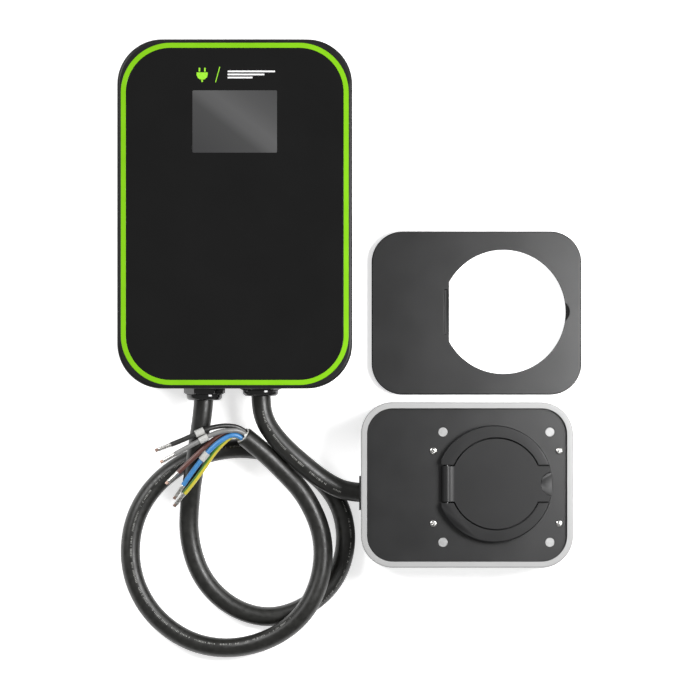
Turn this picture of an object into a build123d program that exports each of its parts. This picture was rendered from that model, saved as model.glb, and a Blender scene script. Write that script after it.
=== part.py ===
"""Wall-box charger kit laid out on its back: wall box, socket unit, loose cover and cables.

The wall box and the socket unit lie on their backs on z = 0, fronts up. +Y runs towards the
top of the box, +X towards the socket unit. The origin is the centre of the wall bracket's
back face.
"""
from build123d import *

import math
import os

os.makedirs("parts", exist_ok=True)

# ---------------------------------------------------------------- shared clearances
face_gap = 0.3              # between pieces that move past each other
fit_gap = 0.1               # between a pressed-in or dropped-in piece and its seat
running_gap = 0.05          # radial, a shaft turning or sliding in its bore
screw_room = 0.2            # radial, a screw passing through a hole
thread_bite = 0.2           # radial, a screw cutting its own thread in plastic
overcut = 1.0               # a cut runs this far past the face that it opens

# ---------------------------------------------------------------- wall box
box_w = 198.5               # outline of the front housing
box_h = 295.0
box_corner = 38.0
box_depth = 90.0
box_wall = 3.0
rear_inset = 4.0            # the rear housing is this much smaller all round
split_level = 66.0          # rim of the rear housing
skirt_drop = 6.0            # the front housing's skirt reaches this far below the rim
gasket_thick = 2.0
front_wall = 5.0
front_rounding = 2.5
ledge_width = 4.0
ledge_thick = 4.0

trim_margin = 2.9           # black edge outside the coloured line
trim_width = 4.4
trim_corner = 42.0
trim_depth = 2.5
panel_gap = 0.15
window_w = 71.4
window_h = 52.6
window_corner = 1.0
window_y = 78.0

pocket_depth = 8.0          # hollow in the back that takes the wall bracket
bracket_w = 140.0
bracket_h = 260.0
bracket_thick = 2.0
bracket_corner = 6.0
wall_bolt_dx = 110.0
wall_bolt_dy = 180.0
wall_bolt_r = 3.2
lock_screw_level = 5.0
lock_screw_head_r = 3.2
lock_screw_reach = 4.0      # past the bracket's edge

box_screw_dx = 160.0
box_screw_dy = 256.0
box_screw_r = 2.0
box_screw_head_r = 3.6
box_screw_head = 3.0
box_screw_grip = 14.0       # post material under the screw's head
box_screw_length = 27.0
box_screw_bore_gap = 0.4    # around the head, in its counterbore
screw_tip_room = 1.0        # below a screw's tip
box_post_r = 6.5
front_boss_r = 4.5

board_w = 150.0
board_h = 236.0
board_thick = 1.6
board_corner = 3.0
board_screw_inset = 7.0
board_post = 7.0            # height of the posts under the control board
board_post_r = 4.0
board_screw_r = 1.5
board_screw_head_r = 2.8
board_screw_head = 1.8
display_board_w = 96.0
display_board_h = 70.0
display_board_drop = 9.0    # below the front wall
small_board_corner = 2.0
small_board_inset = 4.0     # screw posts, from the edges of the two small boards
small_screw_tip_room = 0.5
window_ledge = 1.0          # the window rests on this much of the housing all round
lcd_w = 77.0
lcd_h = 56.0
lcd_thick = 3.2
lcd_post_r = 2.0
lcd_post_inset = 6.0
antenna_w = 90.0
antenna_h = 50.0
antenna_y = -10.0
antenna_drop = 3.0

# ---------------------------------------------------------------- cables and glands
cable_d = 16.4
core_d = 4.2
core_ring = 3.8             # the five cores lie on this radius inside the jacket
cable_level = 36.0          # height of the gland axes
supply_x = -26.0
output_x = 21.5
gland_hex = 30.3            # across flats
gland_dome_r = 15.3
gland_seal_wall = 0.8
gland_bore_r = cable_d / 2 + gland_seal_wall
gland_stem_wall = 3.4
gland_stem_r = gland_bore_r + gland_stem_wall
gland_dome = 5.1
gland_dome_rounding = 3.5
gland_seal_length = 5.0
gland_seal_set_out = 1.0    # the seal starts this far outside the wall
supply_hex_length = 9.0
output_hex_length = 5.4
gland_stem_length = 9.0     # inside the wall
locknut_flats = 29.0
locknut_length = 5.0
terminal_w = 44.0
terminal_d = 20.0
terminal_h = 16.0
terminal_pitch = 8.4
terminal_y = -105.0
terminal_core_level = 8.0   # core entries above the board
terminal_core_run = 2.5     # a core is straight this far at each end
terminal_well_r = 2.6
terminal_well_depth = 5.0
terminal_well_offset = 2.0
input_terminal_shift = 0.5  # from the gland's axis
output_terminal_shift = 1.5
ferrule_d = 3.8
ferrule_length = 14.5
marker_d = 6.0
marker_bore_d = 4.9
marker_length = 8.0
core_lead_out = 7.0         # a core is straight this far out of the jacket
core_turn = -12.0           # degrees, first core at the stripped end
floor_gap = 0.1             # under a cable that lies on the floor
crossing_gap = 2.6          # between a cable and the one that it crosses

# ---------------------------------------------------------------- socket unit
unit_x = 196.2
unit_y = -229.0
unit_w = 179.3
unit_h = 139.8
unit_corner = 27.0
unit_depth = 80.0
unit_wall = 4.0
unit_back = 3.0
rim_width = 5.15
rim_rounding = 1.5
plate_recess = 5.5          # rim above the plate's face
plate_thick = 3.5
plate_gasket_thick = 1.0
plate_ledge = 3.35
plate_ledge_thick = 5.0
unit_bolt_dx = 150.0
unit_bolt_dy = 110.0
unit_bolt_r = 2.6
plate_screw_dx = 106.4
plate_screw_dy = 61.3
plate_screw_x = 221.0       # centre of the screw and magnet patterns
plate_screw_y = -230.8
plate_screw_r = 1.75
plate_screw_head_r = 3.15
plate_screw_head = 1.8
plate_screw_length = 14.0
plate_screw_rounding = 0.9
cross_length = 3.2          # cross recess in a plate screw
cross_width = 0.8
cross_floor = 0.7
plate_post_r = 4.5
magnet_dx = 90.3
magnet_dy = 93.2
magnet_r = 4.0
magnet_thick = 2.5
magnet_proud = 0.3

# ---------------------------------------------------------------- socket and lid
ring_x = 219.2              # centre of the round collar on the plate
ring_y = -228.0
socket_bore_r = 29.0
socket_wall = 5.0
socket_barrel_r = socket_bore_r + socket_wall
socket_barrel_length = 40.0
socket_floor = 4.0
lid_offset = 1.6            # lid disc and socket sit this far right of the collar's centre
lid_lap = 9.4               # the lid disc covers the bore by this much all round
lid_r = socket_bore_r + lid_lap
ring_width = 11.0
ring_r = lid_r + ring_width
ring_height = 9.5
ring_rounding = 1.0
lid_band = 30.4             # height of the band from the hinge to the finger notch
lid_gap = 0.95
lid_thick = 4.6
lid_edge_chamfer = 2.0
barrel_r = 5.0
barrel_set_out = 3.1        # hinge axis, outside the lid disc
barrel_x = lid_offset - lid_r - barrel_set_out
barrel_margin = 5.3
ring_flat = barrel_margin - barrel_x
barrel_room = 0.5           # between the barrel and the edge of its cut-out
barrel_level = 5.5          # hinge axis above the plate
hinge_pin_r = 1.5
hinge_pin_grip = 5.0
spring_space = 8.0
spring_wire_r = 0.4
spring_coil_r = 2.4
spring_pitch = 1.2
spring_end_room = 0.5
scoop_r = 10.0
scoop_depth = 3.5
seal_set_out = 2.0          # outside the bore
seal_width = 3.0
seal_in_r = socket_bore_r + seal_set_out
seal_out_r = seal_in_r + seal_width
seal_groove = 1.2
plug_shroud_space = 5.5     # between the bore and the contact carrier
carrier_r = socket_bore_r - plug_shroud_space
carrier_flat_cut = 5.0      # the carrier's top is cut flat by this much
carrier_flat = carrier_r - carrier_flat_cut
carrier_height = 24.0
carrier_chamfer = 1.0
contact_r = 4.4
contact_bore_r = 3.1
pilot_r = 2.4
pilot_bore_r = 1.5
contact_pitch = 12.5
contact_low_x = 7.0
contact_low_y = -12.0
pilot_y = 11.5
pilot_x = 6.5
contact_tail = 4.0
contact_set_back = 1.0
ring_nut_width = 10.0
ring_nut_r = socket_barrel_r + ring_nut_width
ring_nut_thick = 5.0
pin_r = 2.5
pin_level = 31.0            # lock pin's axis below the collar's top face
pin_length = 24.0
pin_set_back = 0.8
pin_chamfer = 0.6
pin_end_room = 1.0
actuator_w = 46.0
actuator_d = 24.0
actuator_h = 22.0
actuator_stand_off = 4.0    # between the socket's barrel and the actuator
actuator_y = socket_barrel_r + actuator_stand_off
actuator_rounding = 2.0
actuator_nose_r = 5.5
actuator_post = 10.0

inlet_y = -236.0
inlet_level = 30.0
inlet_hole_r = 11.5
inlet_flange_r = 14.5
inlet_flange = 1.5
clamp_inset = 9.45          # from the housing's left face
clamp_x = unit_x - unit_w / 2 + clamp_inset
clamp_width = 8.0
clamp_length = 40.0
clamp_screw_pitch = 30.0
clamp_screw_r = 2.0
clamp_screw_head_r = 3.6
clamp_screw_head = 2.4
clamp_height = 12.0
clamp_screw_depth = 14.0
clamp_hole_depth = 16.0
core_lead_in = 8.0          # a core is straight this far inside the socket unit
core_bend_offset = 46.0     # the cores turn this far left of the socket

# ---------------------------------------------------------------- cover plate
cover_x = 204.6
cover_y = -83.55
cover_inset = 0.65          # smaller than the socket unit all round
cover_thick = 3.5
cover_chamfer = 0.8
cover_hole_gap = 3.2        # around the collar
cover_hole_r = ring_r + cover_hole_gap
cover_flat_gap = 1.0
cover_rib = 2.0
cover_rib_gap = 0.4
cover_boss_r = 5.0
cover_disc_r = 4.0
cover_disc = 1.0
hinge_relief_w = 4.0
hinge_relief_h = 38.0
hinge_relief_depth = 1.4
notch_r = 10.0
notch_reach = 3.4
notch_depth = 2.2


# ---------------------------------------------------------------- shared shapes
def slab(width, height, corner, bottom, top, at=(0, 0), mode=Mode.ADD):
    """Adds, or cuts, a round-cornered slab between two levels."""
    with BuildSketch(Plane.XY.offset(bottom)) as outline:
        with Locations(at):
            RectangleRounded(width, height, corner)
    extrude(outline.sketch, amount=top - bottom, mode=mode)


def posts(radius, bottom, top, places, mode=Mode.ADD):
    """Adds, or cuts, upright round posts between two levels."""
    with Locations(*[(x, y, bottom) for x, y in places]):
        Cylinder(radius, top - bottom, align=(Align.CENTER, Align.CENTER, Align.MIN), mode=mode)


def block(x_range, y_range, z_range, mode=Mode.ADD):
    """Adds, or cuts, a box given by its limits."""
    low = (x_range[0], y_range[0], z_range[0])
    size = (x_range[1] - x_range[0], y_range[1] - y_range[0], z_range[1] - z_range[0])
    with Locations(low):
        Box(*size, align=(Align.MIN, Align.MIN, Align.MIN), mode=mode)


def along(axis_point, direction, radius, length, mode=Mode.ADD):
    """Adds, or cuts, a round bar that starts at a point and runs in a direction."""
    with BuildSketch(Plane(origin=axis_point, z_dir=direction)) as disc:
        Circle(radius)
    extrude(disc.sketch, amount=length, mode=mode)


def corners(dx, dy, at=(0, 0)):
    """The four corners of a rectangular pattern."""
    return [(at[0] + sx * dx / 2, at[1] + sy * dy / 2) for sx in (-1, 1) for sy in (-1, 1)]


def save(part, name):
    """Names a finished piece and writes it."""
    part.label = name
    export_step(part, f"parts/{name}.step")


def corner_radii(points, share=0.45):
    """The largest arc that each corner's two runs allow."""
    points = [Vector(*point) for point in points]
    radii = []
    for before, here, after in zip(points, points[1:], points[2:]):
        turn = math.radians((here - before).get_angle(after - here))
        run = min((here - before).length, (after - here).length)
        radii.append(share * run / math.tan(turn / 2))
    return radii


def tube(points, diameter):
    """A round cord along straight runs joined by arcs."""
    radii = corner_radii(points)
    with BuildPart() as cord:
        with BuildLine() as path:
            FilletPolyline(*points, radius=radii)
        with BuildSketch(Plane(origin=points[0], z_dir=Vector(*points[1]) - Vector(*points[0]))):
            Circle(diameter / 2)
        sweep(path=path.wire())
    return cord.part, path.wire().length, radii


def core_starts(tip, way, turn=0.0):
    """Centres of the five cores on a jacket's end face, and the face's direction."""
    way = Vector(*way).normalized()
    side = way.cross(Vector(0, 0, 1)).normalized()
    rise = side.cross(way).normalized()
    angles = [math.radians(turn + 72 * step) for step in range(5)]
    tip = Vector(*tip)
    starts = [tip + (side * math.cos(angle) + rise * math.sin(angle)) * core_ring for angle in angles]
    return starts, way


# ================================================================ wall box: housings
rear_w = box_w - 2 * rear_inset
rear_h = box_h - 2 * rear_inset
rear_corner = box_corner - rear_inset
cavity_w = rear_w - 2 * box_wall
cavity_h = rear_h - 2 * box_wall
cavity_corner = rear_corner - box_wall
floor_level = pocket_depth + box_wall
board_level = floor_level + board_post
board_top = board_level + board_thick
bottom_face = -rear_h / 2
box_screws = corners(box_screw_dx, box_screw_dy)
board_screws_at = corners(board_w - 2 * board_screw_inset, board_h - 2 * board_screw_inset)
wall_bolts = corners(wall_bolt_dx, wall_bolt_dy)

with BuildPart() as wall_bracket:
    slab(bracket_w, bracket_h, bracket_corner, 0, bracket_thick)
    for side in (-1, 1):
        edge = side * bracket_h / 2
        inner = edge - side * bracket_thick
        block((-bracket_w / 2 + bracket_corner, bracket_w / 2 - bracket_corner),
              sorted((edge, inner)), (bracket_thick, pocket_depth))
    posts(wall_bolt_r, 0, bracket_thick, wall_bolts, mode=Mode.SUBTRACT)
    along((0, -bracket_h / 2 - overcut, lock_screw_level), (0, 1, 0), box_screw_r + fit_gap,
          bracket_thick + 2 * overcut, mode=Mode.SUBTRACT)
save(wall_bracket.part, "wall_bracket")

with BuildPart() as bracket_lock_screw:
    along((0, bottom_face, lock_screw_level), (0, -1, 0), lock_screw_head_r, box_screw_head)
    along((0, bottom_face, lock_screw_level), (0, 1, 0), box_screw_r,
          -bottom_face - bracket_h / 2 + lock_screw_reach)
save(bracket_lock_screw.part, "bracket_lock_screw")

with BuildPart() as rear_housing:
    slab(rear_w, rear_h, rear_corner, 0, split_level)
    slab(cavity_w, cavity_h, cavity_corner, 0, pocket_depth, mode=Mode.SUBTRACT)
    slab(cavity_w, cavity_h, cavity_corner, floor_level, split_level, mode=Mode.SUBTRACT)
    posts(box_post_r, floor_level, split_level, box_screws)
    posts(board_post_r, floor_level, board_level, board_screws_at)
    posts(board_screw_r, floor_level, board_level, board_screws_at, mode=Mode.SUBTRACT)
    posts(box_screw_head_r + box_screw_bore_gap, 0, split_level - box_screw_grip, box_screws,
          mode=Mode.SUBTRACT)
    posts(box_screw_r + fit_gap, 0, split_level, box_screws, mode=Mode.SUBTRACT)
    for gland_x in (supply_x, output_x):
        along((gland_x, bottom_face - overcut, cable_level), (0, 1, 0), gland_stem_r + fit_gap,
              box_wall + 2 * overcut, mode=Mode.SUBTRACT)
    along((0, bottom_face - overcut, lock_screw_level), (0, 1, 0), box_screw_r + fit_gap,
          box_wall + 2 * overcut, mode=Mode.SUBTRACT)
save(rear_housing.part, "rear_housing")

with BuildPart() as main_gasket:
    slab(rear_w, rear_h, rear_corner, split_level, split_level + gasket_thick)
    slab(cavity_w, cavity_h, cavity_corner, split_level, split_level + gasket_thick,
         mode=Mode.SUBTRACT)
save(main_gasket.part, "main_gasket")

recess_w = box_w - 2 * trim_margin
recess_h = box_h - 2 * trim_margin
recess_level = box_depth - trim_depth
front_inside = box_depth - front_wall
skirt_level = split_level - skirt_drop
ledge_level = split_level + gasket_thick
skirt_w = box_w - 2 * box_wall
skirt_h = box_h - 2 * box_wall
skirt_corner = box_corner - box_wall
display_at = (0, window_y)
antenna_at = (0, antenna_y)
display_posts = corners(display_board_w - 2 * small_board_inset,
                        display_board_h - 2 * small_board_inset, display_at)
antenna_posts = corners(antenna_w - 2 * small_board_inset, antenna_h - 2 * small_board_inset,
                        antenna_at)
display_level = front_inside - display_board_drop
antenna_level = front_inside - antenna_drop

with BuildPart() as front_housing:
    slab(box_w, box_h, box_corner, skirt_level, box_depth)
    fillet(front_housing.edges().group_by(Axis.Z)[-1], front_rounding)
    slab(skirt_w, skirt_h, skirt_corner, skirt_level, ledge_level, mode=Mode.SUBTRACT)
    slab(skirt_w - 2 * ledge_width, skirt_h - 2 * ledge_width, skirt_corner - ledge_width,
         ledge_level, ledge_level + ledge_thick, mode=Mode.SUBTRACT)
    slab(skirt_w, skirt_h, skirt_corner, ledge_level + ledge_thick, front_inside,
         mode=Mode.SUBTRACT)
    posts(front_boss_r, split_level, front_inside, box_screws)
    posts(box_screw_r, split_level, split_level + box_screw_length - box_screw_grip + screw_tip_room,
          box_screws, mode=Mode.SUBTRACT)
    posts(board_post_r, display_level + board_thick, front_inside, display_posts)
    posts(board_post_r, antenna_level + board_thick, front_inside, antenna_posts)
    posts(board_screw_r, display_level, front_inside, display_posts, mode=Mode.SUBTRACT)
    posts(board_screw_r, antenna_level, front_inside, antenna_posts, mode=Mode.SUBTRACT)
    slab(recess_w, recess_h, trim_corner, recess_level, box_depth, mode=Mode.SUBTRACT)
    slab(window_w - 2 * window_ledge, window_h - 2 * window_ledge, window_corner, front_inside,
         recess_level, display_at, mode=Mode.SUBTRACT)
save(front_housing.part, "front_housing")

with BuildPart() as green_trim:
    slab(recess_w - 2 * panel_gap, recess_h - 2 * panel_gap, trim_corner, recess_level, box_depth)
    slab(recess_w - 2 * trim_width, recess_h - 2 * trim_width, trim_corner - trim_width,
         recess_level, box_depth, mode=Mode.SUBTRACT)
save(green_trim.part, "green_trim")

panel_w = recess_w - 2 * trim_width - 2 * panel_gap
panel_h = recess_h - 2 * trim_width - 2 * panel_gap
with BuildPart() as front_panel:
    slab(panel_w, panel_h, trim_corner - trim_width, recess_level, box_depth)
    slab(window_w + 2 * fit_gap, window_h + 2 * fit_gap, window_corner + fit_gap, recess_level,
         box_depth, display_at, mode=Mode.SUBTRACT)
save(front_panel.part, "front_panel")

with BuildPart() as display_window:
    slab(window_w, window_h, window_corner, recess_level, box_depth, display_at)
save(display_window.part, "display_window")

with BuildPart() as lcd_module:
    slab(lcd_w, lcd_h, window_corner, front_inside - fit_gap - lcd_thick, front_inside - fit_gap,
         display_at)
    posts(lcd_post_r, display_level + board_thick, front_inside - fit_gap - lcd_thick,
          corners(lcd_w - 2 * lcd_post_inset, lcd_h - 2 * lcd_post_inset, display_at))
save(lcd_module.part, "lcd_module")

with BuildPart() as display_board:
    slab(display_board_w, display_board_h, small_board_corner, display_level,
         display_level + board_thick, display_at)
    posts(board_screw_r + fit_gap, display_level, display_level + board_thick, display_posts,
          mode=Mode.SUBTRACT)
save(display_board.part, "display_board")

with BuildPart() as rfid_antenna:
    slab(antenna_w, antenna_h, small_board_corner, antenna_level, antenna_level + board_thick,
         antenna_at)
    posts(board_screw_r + fit_gap, antenna_level, antenna_level + board_thick, antenna_posts,
          mode=Mode.SUBTRACT)
save(rfid_antenna.part, "rfid_antenna")

with BuildPart() as housing_screws:
    head_level = split_level - box_screw_grip
    posts(box_screw_head_r, head_level - box_screw_head, head_level, box_screws)
    posts(box_screw_r, head_level, head_level + box_screw_length, box_screws)
save(housing_screws.part, "housing_screws")

# ================================================================ wall box: electronics
with BuildPart() as control_board:
    slab(board_w, board_h, board_corner, board_level, board_top)
    posts(board_screw_r + fit_gap, board_level, board_top, board_screws_at, mode=Mode.SUBTRACT)
save(control_board.part, "control_board")

case_corner = 1.0
relay_w = 30.0
relay_d = 17.0
relay_h = 26.0
relay_pitch = 21.0
relay_x = 36.0
relay_y = -62.0
with BuildPart() as power_relays:
    for count in range(4):
        slab(relay_w, relay_d, case_corner, board_top, board_top + relay_h,
             (relay_x, relay_y + count * relay_pitch))
save(power_relays.part, "power_relays")

converter_w = 52.0
converter_d = 34.0
converter_h = 22.0
converter_corner = 2.0
transformer_w = 30.0        # stands proud of the converter's case
transformer_d = 26.0
transformer_h = 6.0
converter_at = (-38.0, 62.0)
converter_top = board_top + converter_h
with BuildPart() as power_supply:
    slab(converter_w, converter_d, converter_corner, board_top, converter_top, converter_at)
    slab(transformer_w, transformer_d, converter_corner, converter_top,
         converter_top + transformer_h, converter_at)
save(power_supply.part, "power_supply")

sensor_r = 17.0
sensor_bore_r = 9.0
sensor_thick = 14.0
sensor_at = (-30.0, -62.0)
with BuildPart() as leakage_sensor:
    posts(sensor_r, board_top, board_top + sensor_thick, [sensor_at])
    posts(sensor_bore_r, board_top, board_top + sensor_thick, [sensor_at], mode=Mode.SUBTRACT)
save(leakage_sensor.part, "leakage_sensor")


poles = range(-2, 3)
input_terminal_x = supply_x + input_terminal_shift
output_terminal_x = output_x + output_terminal_shift


def terminal_block(centre_x):
    """A five-pole block with round core entries in front and screw wells on top."""
    top = board_top + terminal_h
    with BuildPart() as terminals:
        slab(terminal_w, terminal_d, case_corner, board_top, top, (centre_x, terminal_y))
        wells = [(centre_x + pole * terminal_pitch, terminal_y + terminal_well_offset)
                 for pole in poles]
        posts(terminal_well_r, top - terminal_well_depth, top, wells, mode=Mode.SUBTRACT)
    return terminals.part


save(terminal_block(input_terminal_x), "input_terminals")
save(terminal_block(output_terminal_x), "output_terminals")

with BuildPart() as board_screws:
    posts(board_screw_head_r, board_top, board_top + board_screw_head, board_screws_at)
    posts(board_screw_r, floor_level + screw_tip_room, board_top, board_screws_at)
    for level, places in ((display_level, display_posts), (antenna_level, antenna_posts)):
        posts(board_screw_head_r, level - board_screw_head, level, places)
        posts(board_screw_r, level, front_inside - small_screw_tip_room, places)
save(board_screws.part, "board_screws")

ribbon_w = 20.0
ribbon_x = 20.0
ribbon_low_y = 40.0
ribbon_high_y = 66.0
ribbon_half_thick = 0.4
ribbon_bend = 6.0
ribbon_rise = 18.0          # straight part above the lower plug
ribbon_drop = 14.0          # straight part below the upper plug
plug_h = 5.0
plug_margin = 1.0           # a plug is this much wider than the ribbon on each side
plug_half_d = 3.0
plug_grip = 0.5
with BuildPart() as ribbon_cable:
    low = board_top + plug_h
    high = display_level - plug_h
    with BuildSketch(Plane.YZ.offset(ribbon_x - ribbon_w / 2)):
        with BuildLine() as fold:
            FilletPolyline((ribbon_low_y, low), (ribbon_low_y, low + ribbon_rise),
                           (ribbon_high_y, high - ribbon_drop), (ribbon_high_y, high),
                           radius=ribbon_bend)
            offset(amount=ribbon_half_thick, side=Side.BOTH)
        make_face()
    extrude(amount=ribbon_w)
    plug_sides = (ribbon_x - ribbon_w / 2 - plug_margin, ribbon_x + ribbon_w / 2 + plug_margin)
    block(plug_sides, (ribbon_low_y - plug_half_d, ribbon_low_y + plug_half_d),
          (board_top, low + plug_grip))
    block(plug_sides, (ribbon_high_y - plug_half_d, ribbon_high_y + plug_half_d),
          (high - plug_grip, display_level))
save(ribbon_cable.part, "ribbon_cable")


# ================================================================ glands
def gland_body(x, hex_length):
    """A stem through the wall, a hexagon outside it and a bore for the cable."""
    hex_plane = Plane(origin=(x, bottom_face, cable_level), x_dir=(1, 0, 0), z_dir=(0, -1, 0))
    with BuildPart() as body:
        with BuildSketch(hex_plane):
            RegularPolygon(gland_hex / 2, 6, major_radius=False)
        extrude(amount=hex_length)
        along((x, bottom_face, cable_level), (0, 1, 0), gland_stem_r, box_wall + gland_stem_length)
        along((x, bottom_face - hex_length, cable_level), (0, 1, 0), gland_bore_r,
              hex_length + box_wall + gland_stem_length, mode=Mode.SUBTRACT)
    return body.part


def gland_nut(x, hex_length):
    """The domed cap that squeezes the seal."""
    start = bottom_face - hex_length
    with BuildPart() as nut:
        along((x, start, cable_level), (0, -1, 0), gland_dome_r, gland_dome)
        fillet(nut.edges().group_by(Axis.Y)[0], gland_dome_rounding)
        along((x, start, cable_level), (0, -1, 0), gland_bore_r, gland_dome, mode=Mode.SUBTRACT)
    return nut.part


for name, x, length in (("supply", supply_x, supply_hex_length),
                        ("output", output_x, output_hex_length)):
    save(gland_body(x, length), f"{name}_gland_body")
    save(gland_nut(x, length), f"{name}_gland_nut")

inner_face = bottom_face + box_wall
with BuildPart() as gland_locknuts:
    for x in (supply_x, output_x):
        nut_plane = Plane(origin=(x, inner_face, cable_level), x_dir=(1, 0, 0), z_dir=(0, -1, 0))
        with BuildSketch(nut_plane):
            RegularPolygon(locknut_flats / 2, 6, major_radius=False)
        extrude(amount=-locknut_length)
        along((x, inner_face, cable_level), (0, 1, 0), gland_stem_r + running_gap, locknut_length,
              mode=Mode.SUBTRACT)
save(gland_locknuts.part, "gland_locknuts")

seal_start = bottom_face - gland_seal_set_out
with BuildPart() as gland_seals:
    for x in (supply_x, output_x):
        along((x, seal_start, cable_level), (0, 1, 0), gland_bore_r, gland_seal_length)
        along((x, seal_start, cable_level), (0, 1, 0), cable_d / 2 + running_gap,
              gland_seal_length, mode=Mode.SUBTRACT)
save(gland_seals.part, "gland_seals")

# ================================================================ supply cable and its cores
floor_rest = cable_d / 2 + floor_gap
over = cable_d + floor_rest + crossing_gap
supply_route = [
    (supply_x, -131, cable_level), (supply_x, -152, cable_level), (-28.2, -173.5, cable_level),
    (-33, -205, 29), (-38.5, -240, 13), (-40, -275, floor_rest), (-29, -309, floor_rest),
    (-4.5, -333.5, floor_rest), (28, -343.5, floor_rest), (61.5, -333.5, floor_rest),
    (86.5, -309, floor_rest), (95.8, -275, floor_rest), (87.5, -240.5, floor_rest),
    (62, -214.5, floor_rest), (29, -200, floor_rest), (-6, -197.5, floor_rest),
    (-41, -207.5, floor_rest), (-71.5, -231, floor_rest), (-88.5, -264, floor_rest),
    (-89.5, -303, floor_rest), (-73, -338, floor_rest), (-41.5, -362.5, floor_rest),
    (-5, -369.5, 9), (32.5, -360, 19), (60, -338, over), (74, -306, over), (75, -272, 26),
    (60.5, -238.5, over), (38.5, -215, 28), (21, -198.5, 32), (7.2, -187.6, 38),
]
output_route = [
    (output_x, -131, cable_level), (output_x, -152, cable_level), (23.5, -173, cable_level),
    (36, -191.5, cable_level), (55, -209.5, 35), (77, -227, 31.5), (97, inlet_y, inlet_level),
    (117, inlet_y, inlet_level),
]
supply_cable, supply_length, supply_radii = tube(supply_route, cable_d)
output_cable, output_length, output_radii = tube(output_route, cable_d)
save(supply_cable, "supply_cable")
save(output_cable, "output_cable")

tip = Vector(*supply_route[-1])
supply_starts, supply_way = core_starts(tip, tip - Vector(*supply_route[-2]), turn=core_turn)
core_routes = {
    "wire_black": [(-6, -178.8, 42.5), (-16, -179.6, 45), (-25, -182.2, 46.8), (-35, -186.8, 47.4),
                   (-45, -191.4, 47.5), (-54.1, -194.9, 47.3)],
    "wire_grey": [(-6, -183, 46), (-14, -184.2, 46.5), (-22, -187.6, 46.3), (-31, -192.4, 45.6),
                  (-41, -197.6, 44.8), (-50.7, -203, 44.2)],
    "wire_blue": [(-6.5, -188, 43.5), (-15, -193.5, 43.5), (-22.5, -200.8, 42.6), (-29.5, -209, 41),
                  (-37.5, -219.7, 38.8), (-44, -229.4, 36.5)],
    "wire_earth": [(-7, -190.7, 38.8), (-14, -197.3, 38.5), (-20.5, -205.8, 37.5),
                   (-27, -215.5, 36), (-34.5, -226, 33.5), (-43, -236.5, 30.5)],
    "wire_brown": [(-6, -183.7, 38), (-15, -188.3, 39.5), (-25, -196.3, 40.5), (-35, -206, 40.3),
                   (-41.8, -212.5, 39.5), (-48.2, -218.6, 38.8)],
}
wire_lengths = {}
ferrule_places = []
marker_places = []
for (name, route), start in zip(core_routes.items(), supply_starts):
    points = [tuple(start), tuple(start + supply_way * core_lead_out)] + route
    wire, wire_lengths[name], _ = tube(points, core_d)
    save(wire, name)
    before, end = Vector(*route[-2]), Vector(*route[-1])
    ferrule_places.append((end, end - before))
    if name in ("wire_black", "wire_grey", "wire_blue"):
        before, after = Vector(*route[2]), Vector(*route[3])
        way = (after - before).normalized()
        marker_places.append(((before + after) / 2 - way * (marker_length / 2), way))

with BuildPart() as wire_ferrules:
    for place, way in ferrule_places:
        along(place, way, ferrule_d / 2, ferrule_length)
save(wire_ferrules.part, "wire_ferrules")

with BuildPart() as wire_markers:
    for place, way in marker_places:
        along(place, way, marker_d / 2, marker_length)
    for place, way in marker_places:
        along(place, way, marker_bore_d / 2, marker_length, mode=Mode.SUBTRACT)
save(wire_markers.part, "wire_markers")


def terminal_cores(jacket_end, centre_x):
    """Five short cores from a jacket's inner end to the terminal block."""
    starts, way = core_starts(jacket_end, (0, 1, 0), turn=90)
    starts = sorted(starts, key=lambda start: start.X)
    face = terminal_y - terminal_d / 2
    level = board_top + terminal_core_level
    cores = []
    for pole, start in zip(poles, starts):
        x = centre_x + pole * terminal_pitch
        points = [tuple(start), (start.X, start.Y + terminal_core_run, start.Z),
                  (x, face - terminal_core_run, level), (x, face, level)]
        cores.append(tube(points, core_d)[0])
    return Compound(children=cores)


save(terminal_cores(supply_route[0], input_terminal_x), "input_cores")
save(terminal_cores(output_route[0], output_terminal_x), "output_cores")

# ================================================================ socket unit: housing
unit_at = (unit_x, unit_y)
plate_face = unit_depth - plate_recess
plate_level = plate_face - plate_thick
plate_seat = plate_level - plate_gasket_thick
plate_w = unit_w - 2 * rim_width
plate_h = unit_h - 2 * rim_width
plate_corner = unit_corner - rim_width
opening_inset = rim_width + plate_ledge
opening_w = unit_w - 2 * opening_inset
opening_h = unit_h - 2 * opening_inset
opening_corner = unit_corner - opening_inset
ledge_bottom = plate_seat - plate_ledge_thick
plate_screws_at = corners(plate_screw_dx, plate_screw_dy, (plate_screw_x, plate_screw_y))
magnets_at = corners(magnet_dx, magnet_dy, (plate_screw_x, plate_screw_y))
unit_bolts = corners(unit_bolt_dx, unit_bolt_dy, unit_at)
unit_left = unit_x - unit_w / 2
clamp_ends = [(clamp_x, inlet_y - clamp_screw_pitch / 2), (clamp_x, inlet_y + clamp_screw_pitch / 2)]
socket_x = ring_x + lid_offset
collar_top = plate_face + ring_height
pin_axis = collar_top - pin_level
actuator_low = pin_axis - actuator_h / 2
actuator_near = ring_y + actuator_y
actuator_far = actuator_near + actuator_d
actuator_posts = [socket_x - actuator_w / 2 + actuator_post / 2,
                  socket_x + actuator_w / 2 - actuator_post / 2]

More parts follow.
